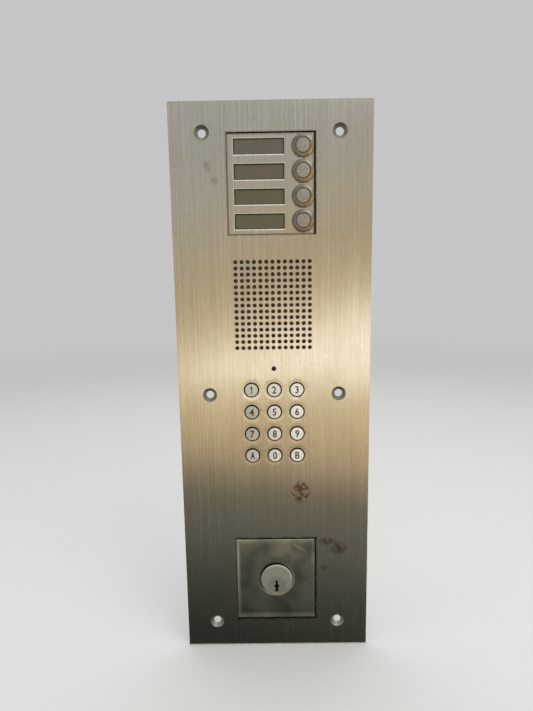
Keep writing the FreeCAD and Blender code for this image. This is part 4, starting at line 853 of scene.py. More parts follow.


# The two darkest tones stand for soot and grease and also for painted shade: their finish darkens hole walls, the
# sides of keys and caps, and the lock's gaps.
SOOT_AND_SHADE, GREASE_AND_SHADE = (0.012, 0.009, 0.006), (0.055, 0.040, 0.026)
FINISHES |= {
    "grimy_edge": toned((0.35, 0.35, 0.35, 4), SOOT_AND_SHADE, GREASE_AND_SHADE, 0.75, 0.2, (0.05, 0.5), specular_ior_level=0.08),
    "engraving": toned((0.9,), (0.012, 0.011, 0.010), (0.05, 0.042, 0.033), 0.6, 0.2),
    "keyway_brass": toned(
        (0.9, 0.9, 0.4), (0.16, 0.09, 0.035), (0.50, 0.33, 0.12), 0.35, 0.2, (0.03, 0.4), metallic=1.0
    ),
    "card": toned((3.0, 3.0, 0.9, 4), (0.70, 0.66, 0.55), (0.82, 0.79, 0.70), 0.85, 0.0, (0.03, 0.3)),
    "cone_paper": toned(
        (0.9, 0.9, 0.9, 6), (0.035, 0.032, 0.030), (0.11, 0.10, 0.09), 0.85, 0.1, (0.12, 0.6)
    ),
    "solder": toned((1.4,), (0.42, 0.42, 0.41), (0.66, 0.66, 0.65), 0.28, 0.2, metallic=1.0),
    "white_moulding": moulding((0.74, 0.72, 0.66), (0.68, 0.66, 0.60), 0.42, 1.2),
    "black_moulding": moulding((0.030, 0.030, 0.030), (0.012, 0.012, 0.012), 0.38, 1.4),
    "black_rubber": moulding((0.022, 0.022, 0.022), (0.010, 0.010, 0.010), 0.68, 2.2),
    "grey_rubber": moulding((0.22, 0.22, 0.21), (0.16, 0.16, 0.155), 0.62, 2.0),
    "terminal_green": moulding((0.05, 0.26, 0.10), (0.03, 0.19, 0.07), 0.36, 1.2),
    "trimmer_blue": moulding((0.03, 0.13, 0.42), (0.02, 0.09, 0.33), 0.34, 1.2),
    "contact_brass": plated((0.80, 0.60, 0.30), (0.52, 0.37, 0.17), 0.28),
    "zinc_sheet": plated((0.64, 0.65, 0.66), (0.40, 0.41, 0.43), 0.36, spangle=5.0),
    "zinc_fixing": plated((0.72, 0.72, 0.70), (0.50, 0.50, 0.47), 0.26),
    "spring_steel": plated((0.60, 0.60, 0.60), (0.42, 0.42, 0.42), 0.22),
    "basket_steel": plated((0.50, 0.50, 0.48), (0.34, 0.34, 0.33), 0.40),
    "capsule_can": plated((0.70, 0.70, 0.68), (0.52, 0.52, 0.50), 0.30),
    "housing_zinc": plated((0.52, 0.52, 0.51), (0.36, 0.36, 0.36), 0.48),
}


# Small parts used in several places


def hexagon_nut(shape, x, z, front, flats, bore, thick):
    """A hexagon nut with eased edges."""
    back, ease = front + thick, thick * 0.12
    layers = [(-ease, front), (0, front + ease), (0, back - ease), (-ease, back)]
    inner = [(0.3, front), (0, front + 0.3), (0, back - 0.3), (0.3, back)]
    shape.sheet(circle(x, z, flats / math.cos(TURN / 12), 6), layers, [(circle(x, z, bore, 18), inner)])


def washer(shape, x, z, front, across, bore, thick):
    back = front + thick
    hole = (circle(x, z, bore, 18), opening(front, back, 0.05))
    shape.sheet(circle(x, z, across, 24), through(front, back, 0.1), [hole])


def pan_screw(shape, x, z, front, across, tall):
    """A pan-head screw seen from behind, with a cross recess."""
    arm, wide, back = across * 0.26, across * 0.075, front + tall
    corner = [(arm, wide), (wide, wide), (wide, arm)]
    cross = [
        (x + a * side_x, z + b * side_z)
        for side_x, side_z in ((1, 1), (-1, 1), (-1, -1), (1, -1))
        for a, b in (corner if side_x == side_z else corner[::-1])
    ]
    dome = [(0, 0), (0, 0.35), (-0.05, 0.65), (-0.14, 0.9), (-0.225, 1)]
    head = shape.wall(circle(x, z, across, 24), [(a * across, front + b * tall) for a, b in dome], caps=(0,))
    recess = shape.wall(fixed(cross), [(0, back), (0, back - tall * 0.55)])
    shape.fill([head[-1], recess[0]])
    shape.fill([recess[1]])


def slotted(shape, x, z, across, front, back, finish=0):
    """A low round head with one slot, seen from behind."""
    head = shape.wall(circle(x, z, across, 28), [(0, front), (0, back - 0.12), (-0.12, back)], finish, (0,))
    slot = box(x, z, across * 0.8, across * 0.16, 0.08, 1)
    cut = shape.wall(slot, [(0, back), (0, (front + back) / 2)], finish)
    shape.fill([head[-1], cut[0]], finish)
    shape.fill([cut[1]], finish)


def threaded(radius, front, back, pitch, depth):
    """The profile of a thread cut as rings, from front to back."""
    profile = []
    turns = int((back - front) / pitch)
    for turn in range(turns):
        start = front + turn * pitch
        profile += [(radius, start), (radius, start + pitch * 0.25)]
        profile += [(radius - depth, start + pitch * 0.5), (radius - depth, start + pitch * 0.72)]
    return profile + [(radius, front + turns * pitch), (radius, back)]


def block(shape, x, z, width, height, front, back, ease):
    """A box with eased edges."""
    layers = [(-ease, front), (-ease * 0.3, front + ease * 0.3), (0, front + ease)]
    layers += [(0, back - ease), (-ease * 0.3, back - ease * 0.3), (-ease, back)]
    shape.sheet(box(x, z, width, height, ease, 2), layers)


# Pieces


def build_front_plate():
    """The steel front plate, with all its holes round and every edge slightly broken."""
    front, back = PLATE_FRONT, 0.0
    holes = []
    for row in range(-7, 8):
        for column in range(-6, 7):
            x, z = column * GRILLE_PITCH, GRILLE_MIDDLE + row * GRILLE_PITCH
            holes.append((circle(x, z, SOUND_HOLE, 20), bored(front, back, 0.07)))
    for _, x, z in KEYS:
        holes.append((circle(x, z, KEY_HOLE, 48), opening(front, back, 0.08), 2))
    holes.append((circle(0, MICROPHONE_Z, MICROPHONE_HOLE, 28), bored(front, back, 0.1), 2))
    sink = [(2.75, front), (2.6, front + 0.08), (0, front + 2.6), (0, back - 0.1), (0.1, back)]
    for x in (-FIXING_X, FIXING_X):
        for z in (-FIXING_Z, 0, FIXING_Z):
            holes.append((circle(x, z, 6.4, 40), sink, 3))
    for z, height in (CALL_OPENING, LOCK_OPENING):
        holes.append((box(0, z, OPENING_WIDTH, height, 0.5, 3), opening(front, back, 0.1), 2))
    outline = box(0, 0, PLATE_WIDTH, PLATE_HEIGHT, 0.5, 3)
    # The straight walls of the holes take the third finish, dark grime with painted shade.
    shape = Shape().sheet(outline, through(front, back, looks().edge_break / MM), holes, deep_finish=2)
    finishes = "brushed_steel sheet_back grimy_edge worn_sink"
    for face in shape.piece("plate", finishes, "front_plate", slot="plate_steel").data.polygons:
        if face.normal.y > 0.7:
            face.material_index = 1
    # Black strips fill the gaps round the two inserts and stand in for the shade in them.
    gap_shades, level = Shape(), [(0, -0.7), (0, -0.05)]
    for (z, height), (insert_z, insert_height) in ((CALL_OPENING, CALL_INSERT), (LOCK_OPENING, LOCK_INSERT)):
        inner = box(INSERT_X, insert_z, 68.72, insert_height + 0.04, 0.4, 3)
        gap_shades.sheet(box(0, z, OPENING_WIDTH - 0.02, height - 0.06, 0.4, 3), level, [(inner, level)])
    gap_shades.piece("insert_gap_shades", "black_rubber")


def build_call_panel():
    """The call module's sheet: four windows with bevelled sills, and four holes that the bezels cover."""
    front, back = -2.8, 0.0
    sill = [(0.85, front), (0.75, front + 0.02), (0, front + 0.26), (0, back)]
    holes = []
    for z in CALL_ROWS:
        holes.append((window_edge(WINDOW_X, z, WINDOW_WIDTH, WINDOW_HEIGHT, 0.3), sill, 2))
        holes.append((circle(CALL_X, z, 16.3, 32), opening(front, back, 0.1)))
    outline = box(INSERT_X, CALL_INSERT[0], INSERT_WIDTH, CALL_INSERT[1], 0.4, 3)
    shape = Shape().sheet(outline, through(front, back, 0.2), holes, deep_finish=1)
    shape.piece("call_sheet", "call_steel brown_edge sill_steel", "call_panel", slot="plate_steel")


def build_name_windows():
    """The four smoked lenses with a rim behind the sheet, the tubular lamps and the housing round them."""
    lenses, lamps, housing = Shape(), Shape(), Shape()
    pane = [(-1.0, -1.5), (-0.4, -1.42), (-0.1, -1.2), (0, -0.8), (0, 0.0), (1.6, 0.0), (1.6, 1.2)]
    half = [(0, 15.0), (1.6, 15.0), (2.6, 14.2), (3.2, 13.6), (3.2, 9.8), (3.5, 9.0)]
    for z in CALL_ROWS:
        lenses.wall(box(WINDOW_X, z, 39.5, 11.6, 0.5, 3), pane, caps=(0, -1))
        rings = []
        for radius, place in half + [(radius, -place) for radius, place in reversed(half)]:
            drawn = circle(0, 0, 2 * radius, 20)() if radius else [(0, 0)]
            rings.append(lamps.ring([(WINDOW_X + place, 8.0 + a, z + b) for a, b in drawn]))
        lamps.skin(rings)
    lenses.piece("window_lenses", "smoked_lens", "name_lenses")
    lamps.piece("window_lamps", "lamp_glass", "name_lamps")
    front, back, floor = 1.5, 15.5, 14.0
    outer = housing.wall(
        box(WINDOW_X, CALL_MIDDLE, 46.4, 77.0, 0.9),
        [(-0.25, front), (0, front + 0.25), (0, back - 2.6), (-0.5, back - 2.4), (-0.5, back - 0.4), (-0.9, back)],
    )
    cell_walls = [(0.15, front), (0, front + 0.2), (-0.35, floor - 0.4), (-0.8, floor)]
    cells = [housing.wall(box(WINDOW_X, z, 42.0, 15.4, 0.8), cell_walls, caps=(-1,))[0] for z in CALL_ROWS]
    housing.fill([outer[0]] + cells)
    sinks = []
    for z in CALL_ROWS:
        sink = housing.wall(box(WINDOW_X, z, 37.0, 11.0, 1.2), [(0.2, back), (0, back - 0.2), (-0.2, back - 0.8)])
        pins = []
        for x in (WINDOW_X - 14, WINDOW_X + 14):
            pin = [(0, back - 0.8), (-0.1, back - 0.65)]
            pins.append(housing.wall(circle(x, z, 3.0, 20), pin, caps=(-1,))[0])
        housing.fill([sink[-1]] + pins)
        sinks.append(sink[0])
    housing.fill([outer[-1]] + sinks)
    housing.piece("lamp_box", "white_moulding", "lamp_housing")


def build_call_buttons():
    """Bezels with threaded barrels, domed caps, nuts, coil springs and the switches behind."""
    bezels, nuts, switches = Shape(), Shape(), Shape()
    foot, seat, pressed = -1.1, 5.9, 5.4
    mouth = [(6.8, -2.6), (5.85, -2.6), (5.85, -4.35)]
    ring = [(5.85, -4.35), (5.92, -4.53), (6.05, -4.6), (6.8, -4.6), (7.2, -4.48), (8.7, -3.75), (8.95, -3.35)]
    ring += [(8.95, -2.95), (8.8, -2.8), (8.0, -2.8), (8.0, 0.6)]
    barrel = threaded(8.0, 0.8, 15.0, 1.0, 0.55) + [(7.6, 15.2), (6.8, 15.2), (6.8, -2.6)]
    switch = [(0, seat), (6.3, seat), (6.3, 15.6), (5.4, 15.6), (5.4, 19.9), (0, 19.9)]
    dome = [(0, -5.2), (2.2, -5.17), (3.9, -5.08), (5.0, -4.92), (5.4, -4.75), (5.55, -4.5)]
    side = [(5.55, -4.5), (5.58, -4.2), (5.58, -2.3), (6.4, -2.3), (6.4, foot), (0, foot)]
    turns, steps, wire, rest = 5, 16, 0.35, seat - foot
    for row, z in enumerate(CALL_ROWS):
        # The mouth of each bezel takes the second finish, dark grime with painted shade.
        bezels.turned(CALL_X, z, mouth, 56, finish=1)
        bezels.turned(CALL_X, z, ring + barrel, 56)
        hexagon_nut(nuts, CALL_X, z, 1.5, 18.0, 16.4, 3.0)
        switches.turned(CALL_X, z, eased(switch, 0.35), 28)
        # The side of each cap takes the second finish, dark grime with painted shade.
        cap = Shape().turned(CALL_X, z, dome, 48).turned(CALL_X, z, side, 48, finish=1)
        button = f"call_button_{row + 1}"
        cap.piece(f"call_cap_{row + 1}", "button_nickel grimy_edge", button, button, "satin_nickel")
        drawn = circle(CALL_X, z, 7.2, steps)() * turns
        drawn.append(drawn[0])
        advance = (rest - 2 * wire) / (turns * steps)
        spring = Shape()
        spring.tube([(x, foot + wire + advance * step, pz) for step, (x, pz) in enumerate(drawn)], wire)
        coil = spring.piece(f"coil_spring_{row + 1}", "spring_steel", "button_springs")
        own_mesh(coil)
    bezels.piece("bezels", "satin_nickel grimy_edge", "button_bezels")
    nuts.piece("barrel_nuts", "zinc_fixing", "button_nuts")
    switches.piece("push_switches", "black_moulding", "button_switches")


def build_keys():
    """Twelve round keys, engraved and filled dark, over a rubber mat with a dome for each."""
    front, top, foot = 3.4, 1.4, 4.4
    mat = Shape().sheet(box(0, KEYPAD_MIDDLE, 58, 78, 2.0), through(front, foot, 0.2))
    mat.piece("rubber_mat", "grey_rubber", "keypad_mat")
    face, deep, stroke = -4.0, 0.22, 0.17
    side = [(-0.22, face), (-0.10, face + 0.05), (-0.03, face + 0.15), (0, face + 0.4), (0, 0.1)]
    skirt = [(5.5, front), (5.3, front - 0.35), (4.6, top + 0.55), (3.9, top + 0.25), (3.25, top), (0, top)]
    for character, x, z in KEYS:
        shape = Shape()
        walls = shape.layered(circle(x, z, KEY_ACROSS, 48), side)
        shape.skin(walls[:2])
        # The key's side and shoulder take the third finish, dark grime with painted shade.
        shape.skin(walls[1:], 2)
        shoulder = shape.wall(box(x, z, 14, 14, 0.6, 3), [(0, 0.1), (0, 1.3)], 2, (1,))
        shape.fill([shoulder[0], walls[-1]], 2)
        lips, floors = [], []
        rings = character_rings(character, looks().character_width / MM, looks().character_height / MM)
        for i, ring in enumerate(rings):
            drawn = widened([(x + px, z + pz) for px, pz in ring], -stroke if i else stroke)
            lip, floor = shape.wall(fixed(drawn), [(0, face), (0, face + deep)], 1)
            lips.append(lip)
            floors.append(floor)
        shape.fill([walls[0]] + lips)
        shape.fill(floors, 1)
        key = f"key_{character.lower()}"
        shape.piece(f"{key}_cap", "key_nickel engraving grimy_edge", key, key, "satin_nickel")
        dome = Shape().turned(x, z, skirt, 32).piece(f"{key}_dome", "grey_rubber", "keypad_mat")
        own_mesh(dome)


def build_lock():
    """The crowned lock plate, the cylinder with its off-centre plug, and the housing behind."""
    plate, edge, field = Shape(), -2.85, -3.05
    outline = box(INSERT_X, LOCK_MIDDLE, 68.7, LOCK_INSERT[1], 0.6, 6)
    inner = box(INSERT_X, LOCK_MIDDLE, 66.9, 73.2, 5.0, 6)
    walls = plate.wall(outline, [(0, 0.0), (0, edge + 0.35), (-0.1, edge + 0.12), (-0.4, edge)])
    rise = [(0, edge - 0.01), (-1.2, edge - 0.06), (-2.6, edge - 0.12), (-4.2, edge - 0.17), (-6.0, field)]
    crown = plate.wall(inner, rise)
    middle = circle(-0.45, CYLINDER_Z + 0.6, 29.6, 72)
    rim = plate.wall(middle, [(2.0, field), (1.4, field + 0.04), (0.6, field + 0.14), (0.15, field + 0.26)])
    # The wall of the hole takes the second finish, dark grime with painted shade.
    hole = plate.wall(middle, [(0.15, field + 0.26), (0, field + 0.6), (0, 0)], 1)
    plate.bridge(walls[-1], crown[0])
    plate.fill([crown[-1], rim[0]])
    plate.fill([walls[0], hole[-1]])
    plate.piece("lock_cover", "lock_steel grimy_edge", "lock_plate", slot="lock_plate_steel")

    cylinder, face, back, radius = Shape(), -3.8, 30.0, 14.0
    thread = [(around - radius, depth) for around, depth in threaded(radius, 6.8, 29.6, 1.0, 0.5)]
    lip = [(-0.5, face), (-0.25, face + 0.07), (-0.08, face + 0.24), (0, face + 0.6)]
    layers = lip + [(0, 6.0), (-0.35, 6.4)] + thread + [(-0.4, back)]
    rings = cylinder.layered(circle(0, CYLINDER_Z, 2 * radius, 72), layers)
    inside = cylinder.wall(circle(0, PLUG_Z, 12.6, 48), bored(face, back, 0.12))
    cylinder.skin(rings[:4])
    # The cylinder's side in the gap takes the second finish, dark grime with painted shade.
    cylinder.skin(rings[3:5], 1)
    cylinder.skin(rings[4:])
    cylinder.fill([rings[0], inside[0]])
    cylinder.fill([rings[-1], inside[-1]])
    cylinder.piece("cylinder", "aged_brass grimy_edge", "lock_cylinder", slot="lock_brass")

    plug, face = Shape(), face + 0.02
    way = [(-0.9, 5.6), (-0.9, 2.0), (-2.0, 1.2), (-2.1, -0.4), (-1.0, -1.4), (-1.0, -2.2), (-1.9, -4.9)]
    way += [(1.7, -4.9), (1.1, -2.6), (0.9, -1.6), (2.0, -0.8), (2.1, 1.0), (0.9, 1.8), (0.9, 5.6)]
    body = plug.wall(circle(0, PLUG_Z, 12.5, 48), [(-0.12, face), (0, face + 0.12), (0, back)])
    slot = plug.wall(fixed([(x, PLUG_Z + z) for x, z in way]), [(0, face), (0, face + 23.98)], 1)
    plug.fill([body[0], slot[0]])
    plug.fill([slot[1]], 1)
    tail = plug.wall(box(0, PLUG_Z, 6, 6, 0.4, 2), [(0, back), (0, 36.2), (-0.3, 36.5)], caps=(2,))
    plug.fill([body[2], tail[0]])
    plug.piece("turning_plug", "aged_brass keyway_brass", "lock_plug", "plug", "lock_brass")

    housing = Shape()
    foot_layers = [(-0.2, 1.5), (0, 1.8), (0, 4.0), (-0.25, 4.4), (-0.6, 4.5)]
    foot = housing.wall(box(0, CYLINDER_Z, 54, 44, 4.0, 5), foot_layers)
    tube_layers = [(1.4, 4.5), (0.5, 4.9), (0, 6.0), (0, 25.0), (-0.5, 25.5)]
    tube = housing.wall(circle(0, CYLINDER_Z, 36, 56), tube_layers)
    inside = housing.wall(circle(0, CYLINDER_Z, 28.4, 56), [(0, 1.5), (0, 25.2), (0.3, 25.5)])
    housing.fill([foot[0], inside[0]])
    housing.fill([foot[-1], tube[0]])
    housing.fill([tube[-1], inside[-1]])
    housing.piece("housing_casting", "housing_zinc", "lock_housing")
    nut = Shape()
    hexagon_nut(nut, 0, CYLINDER_Z, 27.0, 35.0, 28.5, 2.5)
    nut.piece("ring_nut", "zinc_fixing", "lock_nut")


def build_loudspeaker():
    """The loudspeaker's basket, coned paper and magnet, and the microphone in its rubber boot."""
    z = GRILLE_MIDDLE
    outside = [(33.0, 3.0), (33.0, 4.2), (30.0, 4.2), (29.6, 4.8), (17.2, 16.8), (16.5, 18.0)]
    inside = [(15.0, 18.0), (15.4, 16.4), (27.9, 4.6), (28.4, 3.0)]
    basket = Shape().turned(0, z, eased(outside, 0.5, 2) + eased(inside, 0.5, 2), 64, closed=True)
    basket.piece("basket", "basket_steel", "speaker_basket")
    paper = [(27.5, 3.4), (26.4, 3.2), (25.2, 4.2), (24.0, 4.6), (7.5, 11.6), (7.5, 12.0), (24.0, 5.4), (25.2, 5.0)]
    paper += [(26.4, 4.0), (27.5, 4.0)]
    Shape().turned(0, z, paper, 48, closed=True).piece("cone", "cone_paper", "speaker_cone")
    magnet = Shape().turned(0, z, eased([(0, 18.0), (17.0, 18.0), (17.0, 27.0), (0, 27.0)], 0.5), 56)
    magnet.turned(0, z, eased([(0, 27.0), (13.0, 27.0), (13.0, 29.0), (0, 29.0)], 0.5), 48, finish=1)
    magnet.turned(0, z, eased([(0, 29.0), (3.0, 29.0), (2.6, 28.95), (0, 28.95)], 0.1), 24, finish=1)
    magnet.piece("magnet", "ferrite zinc_fixing", "speaker_magnet")
    rubber = [(2.2, 0.0), (5.8, 0.0), (5.8, 6.9), (5.4, 7.5), (4.85, 7.5), (4.85, 1.0), (2.2, 1.0)]
    boot = Shape().turned(0, MICROPHONE_Z, eased(rubber, 0.3, 2), 36, closed=True)
    boot.piece("rubber_boot", "black_rubber", "microphone_boot")
    can = [(0, 1.05), (4.3, 1.05), (4.85, 1.5), (4.85, 7.0), (4.5, 7.5), (0, 7.5)]
    capsule = Shape().turned(0, MICROPHONE_Z, can[1:], 36).turned(0, MICROPHONE_Z, can[:2], 36, finish=1)
    capsule.piece("capsule", "capsule_can dust_cloth", "microphone_capsule")


def build_dust_cloth():
    """The woven cloth over the loudspeaker and the foam ring that it is pressed against."""
    wide, tall, columns, rows = 66.0, 76.0, 44, 50
    cloth, layers = Shape(), []
    for depth in (0.06, 0.40):
        points = []
        for j in range(rows + 1):
            for i in range(columns + 1):
                x, z = (i / columns - 0.5) * wide, (j / rows - 0.5) * tall
                ripple = 0.03 * math.sin(x * 0.9) * math.sin(z * 0.8)
                points.append((x, depth + ripple, GRILLE_MIDDLE + z))
        layers.append(cloth.ring(points))
    across = columns + 1
    for layer in layers:
        for at in (j * across + i for j in range(rows) for i in range(columns)):
            cloth.face([layer[at], layer[at + 1], layer[at + across + 1], layer[at + across]])
    rim = list(range(across)) + [j * across + columns for j in range(1, rows + 1)]
    rim += [rows * across + i for i in range(columns - 1, -1, -1)] + [j * across for j in range(rows - 1, 0, -1)]
    cloth.bridge([layers[0][i] for i in rim], [layers[1][i] for i in rim])
    made = cloth.piece("woven_cloth", "dust_cloth", "speaker_mesh")
    edge = [(-0.35, 0.5), (-0.05, 0.9), (0, 1.75), (-0.05, 2.6), (-0.35, 3.0)]
    bore = (circle(0, GRILLE_MIDDLE, 60, 72), [(-offset, depth) for offset, depth in edge])
    ring = Shape().sheet(box(0, GRILLE_MIDDLE, wide, tall, 2.5), edge, [bore])
    ring.piece("foam_ring", "foam", "speaker_gasket")


def build_fixings():
    """Welded studs with nuts and washers, and round pillars with screws."""
    studs, nuts, pillars, screws = Shape(), Shape(), Shape(), Shape()
    # Half the spacing across and up, the middle, the studs' length and where their washers lie
    groups = [
        (41.0, 42.0, CALL_MIDDLE, 6.0, 1.5),
        (41.0, 42.0, LOCK_MIDDLE, 6.0, 1.5),
        (31.0, 36.5, KEYPAD_MIDDLE, 9.5, 6.0),
    ]
    for half_x, half_z, middle, length, seat in groups:
        weld = [(0, 0), (1.9, 0.0), (1.9, 0.35), (1.5, 0.6)]
        stud = weld + threaded(1.5, 0.9, length - 0.2, 0.5, 0.22) + [(1.2, length), (0, length)]
        for x in (-half_x, half_x):
            for z in (middle - half_z, middle + half_z):
                studs.turned(x, z, stud, 18)
                washer(nuts, x, z, seat, 7.0, 3.1, 0.5)
                hexagon_nut(nuts, x, z, seat + 0.5, 5.5, 3.05, 2.4)
    studs.piece("threaded_studs", "zinc_fixing", "weld_studs")
    nuts.piece("stud_nuts", "zinc_fixing")
    # Where each pillar stands, its top and where its screw's head lies
    posts = [(x, GRILLE_MIDDLE + z, 4.2, 5.4) for x in (-38.5, 38.5) for z in (-18, 18)]
    posts += [(x, BOARD_MIDDLE + z, 8.0, BOARD_BACK) for x in (-51, 51) for z in (-18, 18)]
    posts += [(x, MICROPHONE_Z, 7.5, 8.5) for x in (-12.5, 12.5)]
    for x, z, top, seat in posts:
        pillars.turned(x, z, eased([(0, 0), (3.0, 0), (3.0, top), (0, top)], 0.2, 2), 28)
        pan_screw(screws, x, z, seat, 5.6, 2.1)
    for x in (-22, 22):
        for z in (-17, 17):
            pan_screw(screws, x, CYLINDER_Z + z, 4.5, 6.0, 2.2)
    pillars.piece("round_pillars", "zinc_fixing", "pillars")
    screws.piece("pan_screws", "zinc_fixing")


def build_electronics():
    """The control board's parts, the screws of the terminal block and the tags of the key switch."""
    back, row, can_places = BOARD_BACK, BOARD_MIDDLE + 10.0, (-38.0, -25.0, -12.0)
    cans, cover, trimmers, screws, tags, joints = [Shape() for _ in range(6)]
    sleeve = [(0, back), (4.6, back), (4.6, back + 0.5), (5.0, back + 1.2), (5.0, back + 2.4), (4.75, back + 2.9)]
    sleeve += [(5.0, back + 3.4), (5.0, back + 15.4), (4.6, back + 15.9), (4.1, back + 16.0)]
    for x in can_places:
        cans.turned(x, row, sleeve, 36)
        cans.turned(x, row, [(4.1, back + 16.0), (4.05, back + 15.8), (0, back + 15.8)], 36, finish=1)
    cans.piece("capacitor_cans", "capacitor_sleeve capsule_can", "capacitors")
    block(cover, 28.0, row, 20.0, 15.5, back, back + 1.8, 0.3)
    block(cover, 28.0, row, 19.4, 14.9, back + 1.8, back + 16.6, 0.7)
    block(cover, 28.0, row, 12.0, 8.0, back + 16.6, back + 17.0, 0.15)
    cover.piece("relay_cover", "black_moulding", "relay")
    for x in (-0.5, 11.5):
        block(trimmers, x, row, 9.5, 9.5, back, back + 4.2, 0.3)
        slotted(trimmers, x, row, 6.0, back + 4.2, back + 5.0, 1)
    trimmers.piece("trimmer_pots", "trimmer_blue white_moulding", "level_trimmers")
    for entry in range(9):
        slotted(screws, (entry - 4) * 8.0, BOARD_MIDDLE - 14.0, 4.4, back + 12.0, back + 12.7)
    screws.piece("terminal_screws", "zinc_fixing")
    for x in (-9.0, 0.0, 9.0):
        block(tags, x, CYLINDER_Z + 12.5, 2.8, 0.8, 38.28, 38.48, 0.05)
    for x in (-11.5, 11.5):
        slotted(tags, x, CYLINDER_Z + 7.6, 3.4, 38.28, 38.5)
    tags.piece("switch_tags", "contact_brass")
    places = [(-51 + 4 * i, BOARD_MIDDLE + 20.5) for i in range(1, 25)]
    places += [(x + side * 6.2, row - side * 2.5) for x in can_places for side in (-1, 1)]
    cone = [(0, back - 0.01), (0.9, back), (0.55, back + 0.35), (0.25, back + 0.8), (0, back + 0.9)]
    for x, z in places:
        joints.turned(x, z, cone, 12)
    joints.piece("solder_joints", "solder", slot="zinc_fixing")


# The CAD pieces that keep their shape, by their finish
KEPT = {
    "card": "name_cards",
    "contact_brass": "lamp_contacts switch_terminals",
    "zinc_sheet": "call_carrier lock_carrier speaker_clips microphone_strap switch_bracket",
    "zinc_fixing": "switch_plunger lock_cam",
    "black_moulding": "keypad_frame keypad_header key_switch",
    "circuit_board": "keypad_board control_board",
    "terminal_green": "terminal_block",
}


def finish_kept_pieces():
    for finish_name, nodes in KEPT.items():
        for node in nodes.split():
            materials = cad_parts[node].data.materials
            materials.clear()
            materials.append(finish_of(finish_name))


# Stage

# What the steel mirrors: how bright and warm the room in front is, from the low end of each card to
# its high end, as (place, strength, colour). The wall card stands in front, the other lies on the floor.
WALL_LIGHT = [
    (0.00, 1.85, (1.00, 0.93, 0.80)),
    (0.10, 1.88, (1.00, 0.93, 0.82)),
    (0.16, 1.26, (1.00, 0.85, 0.59)),
    (0.22, 0.79, (1.00, 0.78, 0.44)),
    (0.30, 0.61, (1.00, 0.78, 0.44)),
    (0.40, 0.65, (1.00, 0.83, 0.54)),
    (0.60, 0.60, (1.00, 0.95, 0.85)),
    (1.00, 0.54, (0.97, 1.00, 1.05)),
]
FLOOR_LIGHT = [
    (0.00, 1.27, (1.00, 0.88, 0.66)),
    (0.12, 0.99, (1.00, 0.83, 0.53)),
    (0.45, 0.88, (1.00, 0.78, 0.48)),
    (0.60, 0.66, (1.00, 0.78, 0.52)),
    (0.72, 0.23, (1.00, 0.94, 0.76)),
    (0.85, 0.165, (1.00, 0.99, 0.82)),
    (0.93, 0.09, (0.96, 1.00, 0.86)),
    (1.00, 0.045, (0.94, 1.00, 0.88)),
]


def stage_object(name, points, material):
    """One flat face that belongs to the stage."""
    mesh = bpy.data.meshes.new(name)
    mesh.from_pydata([Vector(point) * MM for point in points], [], [tuple(range(len(points)))])
    mesh.materials.append(material)
    made = bpy.data.objects.new(name, mesh)
    bpy.context.scene.collection.objects.link(made)
    return made


def room_card(name, upright, low, high, still, slope, light):
    """A graded card that only reflections see. It stands along Z if upright, or lies along Y."""
    reach = 1600
    ends = [(-reach, low), (reach, low), (reach, high), (-reach, high)]
    f = Finish(name)
    along = f.z if upright else f.y
    stops = [(at, tuple(strength / 2 * part for part in colour)) for at, strength, colour in light]
    place = (along - f.x * slope - low) / (high - low)
    glow = f.node("ShaderNodeValToRGB", {"stops": stops}, {"Fac": place}, "Color")
    f.show(f.node("ShaderNodeEmission", {}, {"Color": glow, "Strength": 2.0}))
    corners = [(x, still, end) if upright else (x, end, still) for x, end in ends]
    card = stage_object(name, corners, f.material)
    card.visible_camera = card.visible_diffuse = card.visible_shadow = card.visible_transmission = False


def area_lamp(name, place, aim, width, height, power, colour):
    lamp = bpy.data.lights.new(name, "AREA")
    lamp.shape = "RECTANGLE"
    lamp.size, lamp.size_y = width * MM, height * MM
    lamp.energy, lamp.color = power, colour
    made = bpy.data.objects.new(name, lamp)
    made.location = Vector(place) * MM
    made.rotation_euler = (Vector(aim) - Vector(place)).to_track_quat("-Z", "Y").to_euler()
    made.visible_camera = False
    bpy.context.scene.collection.objects.link(made)


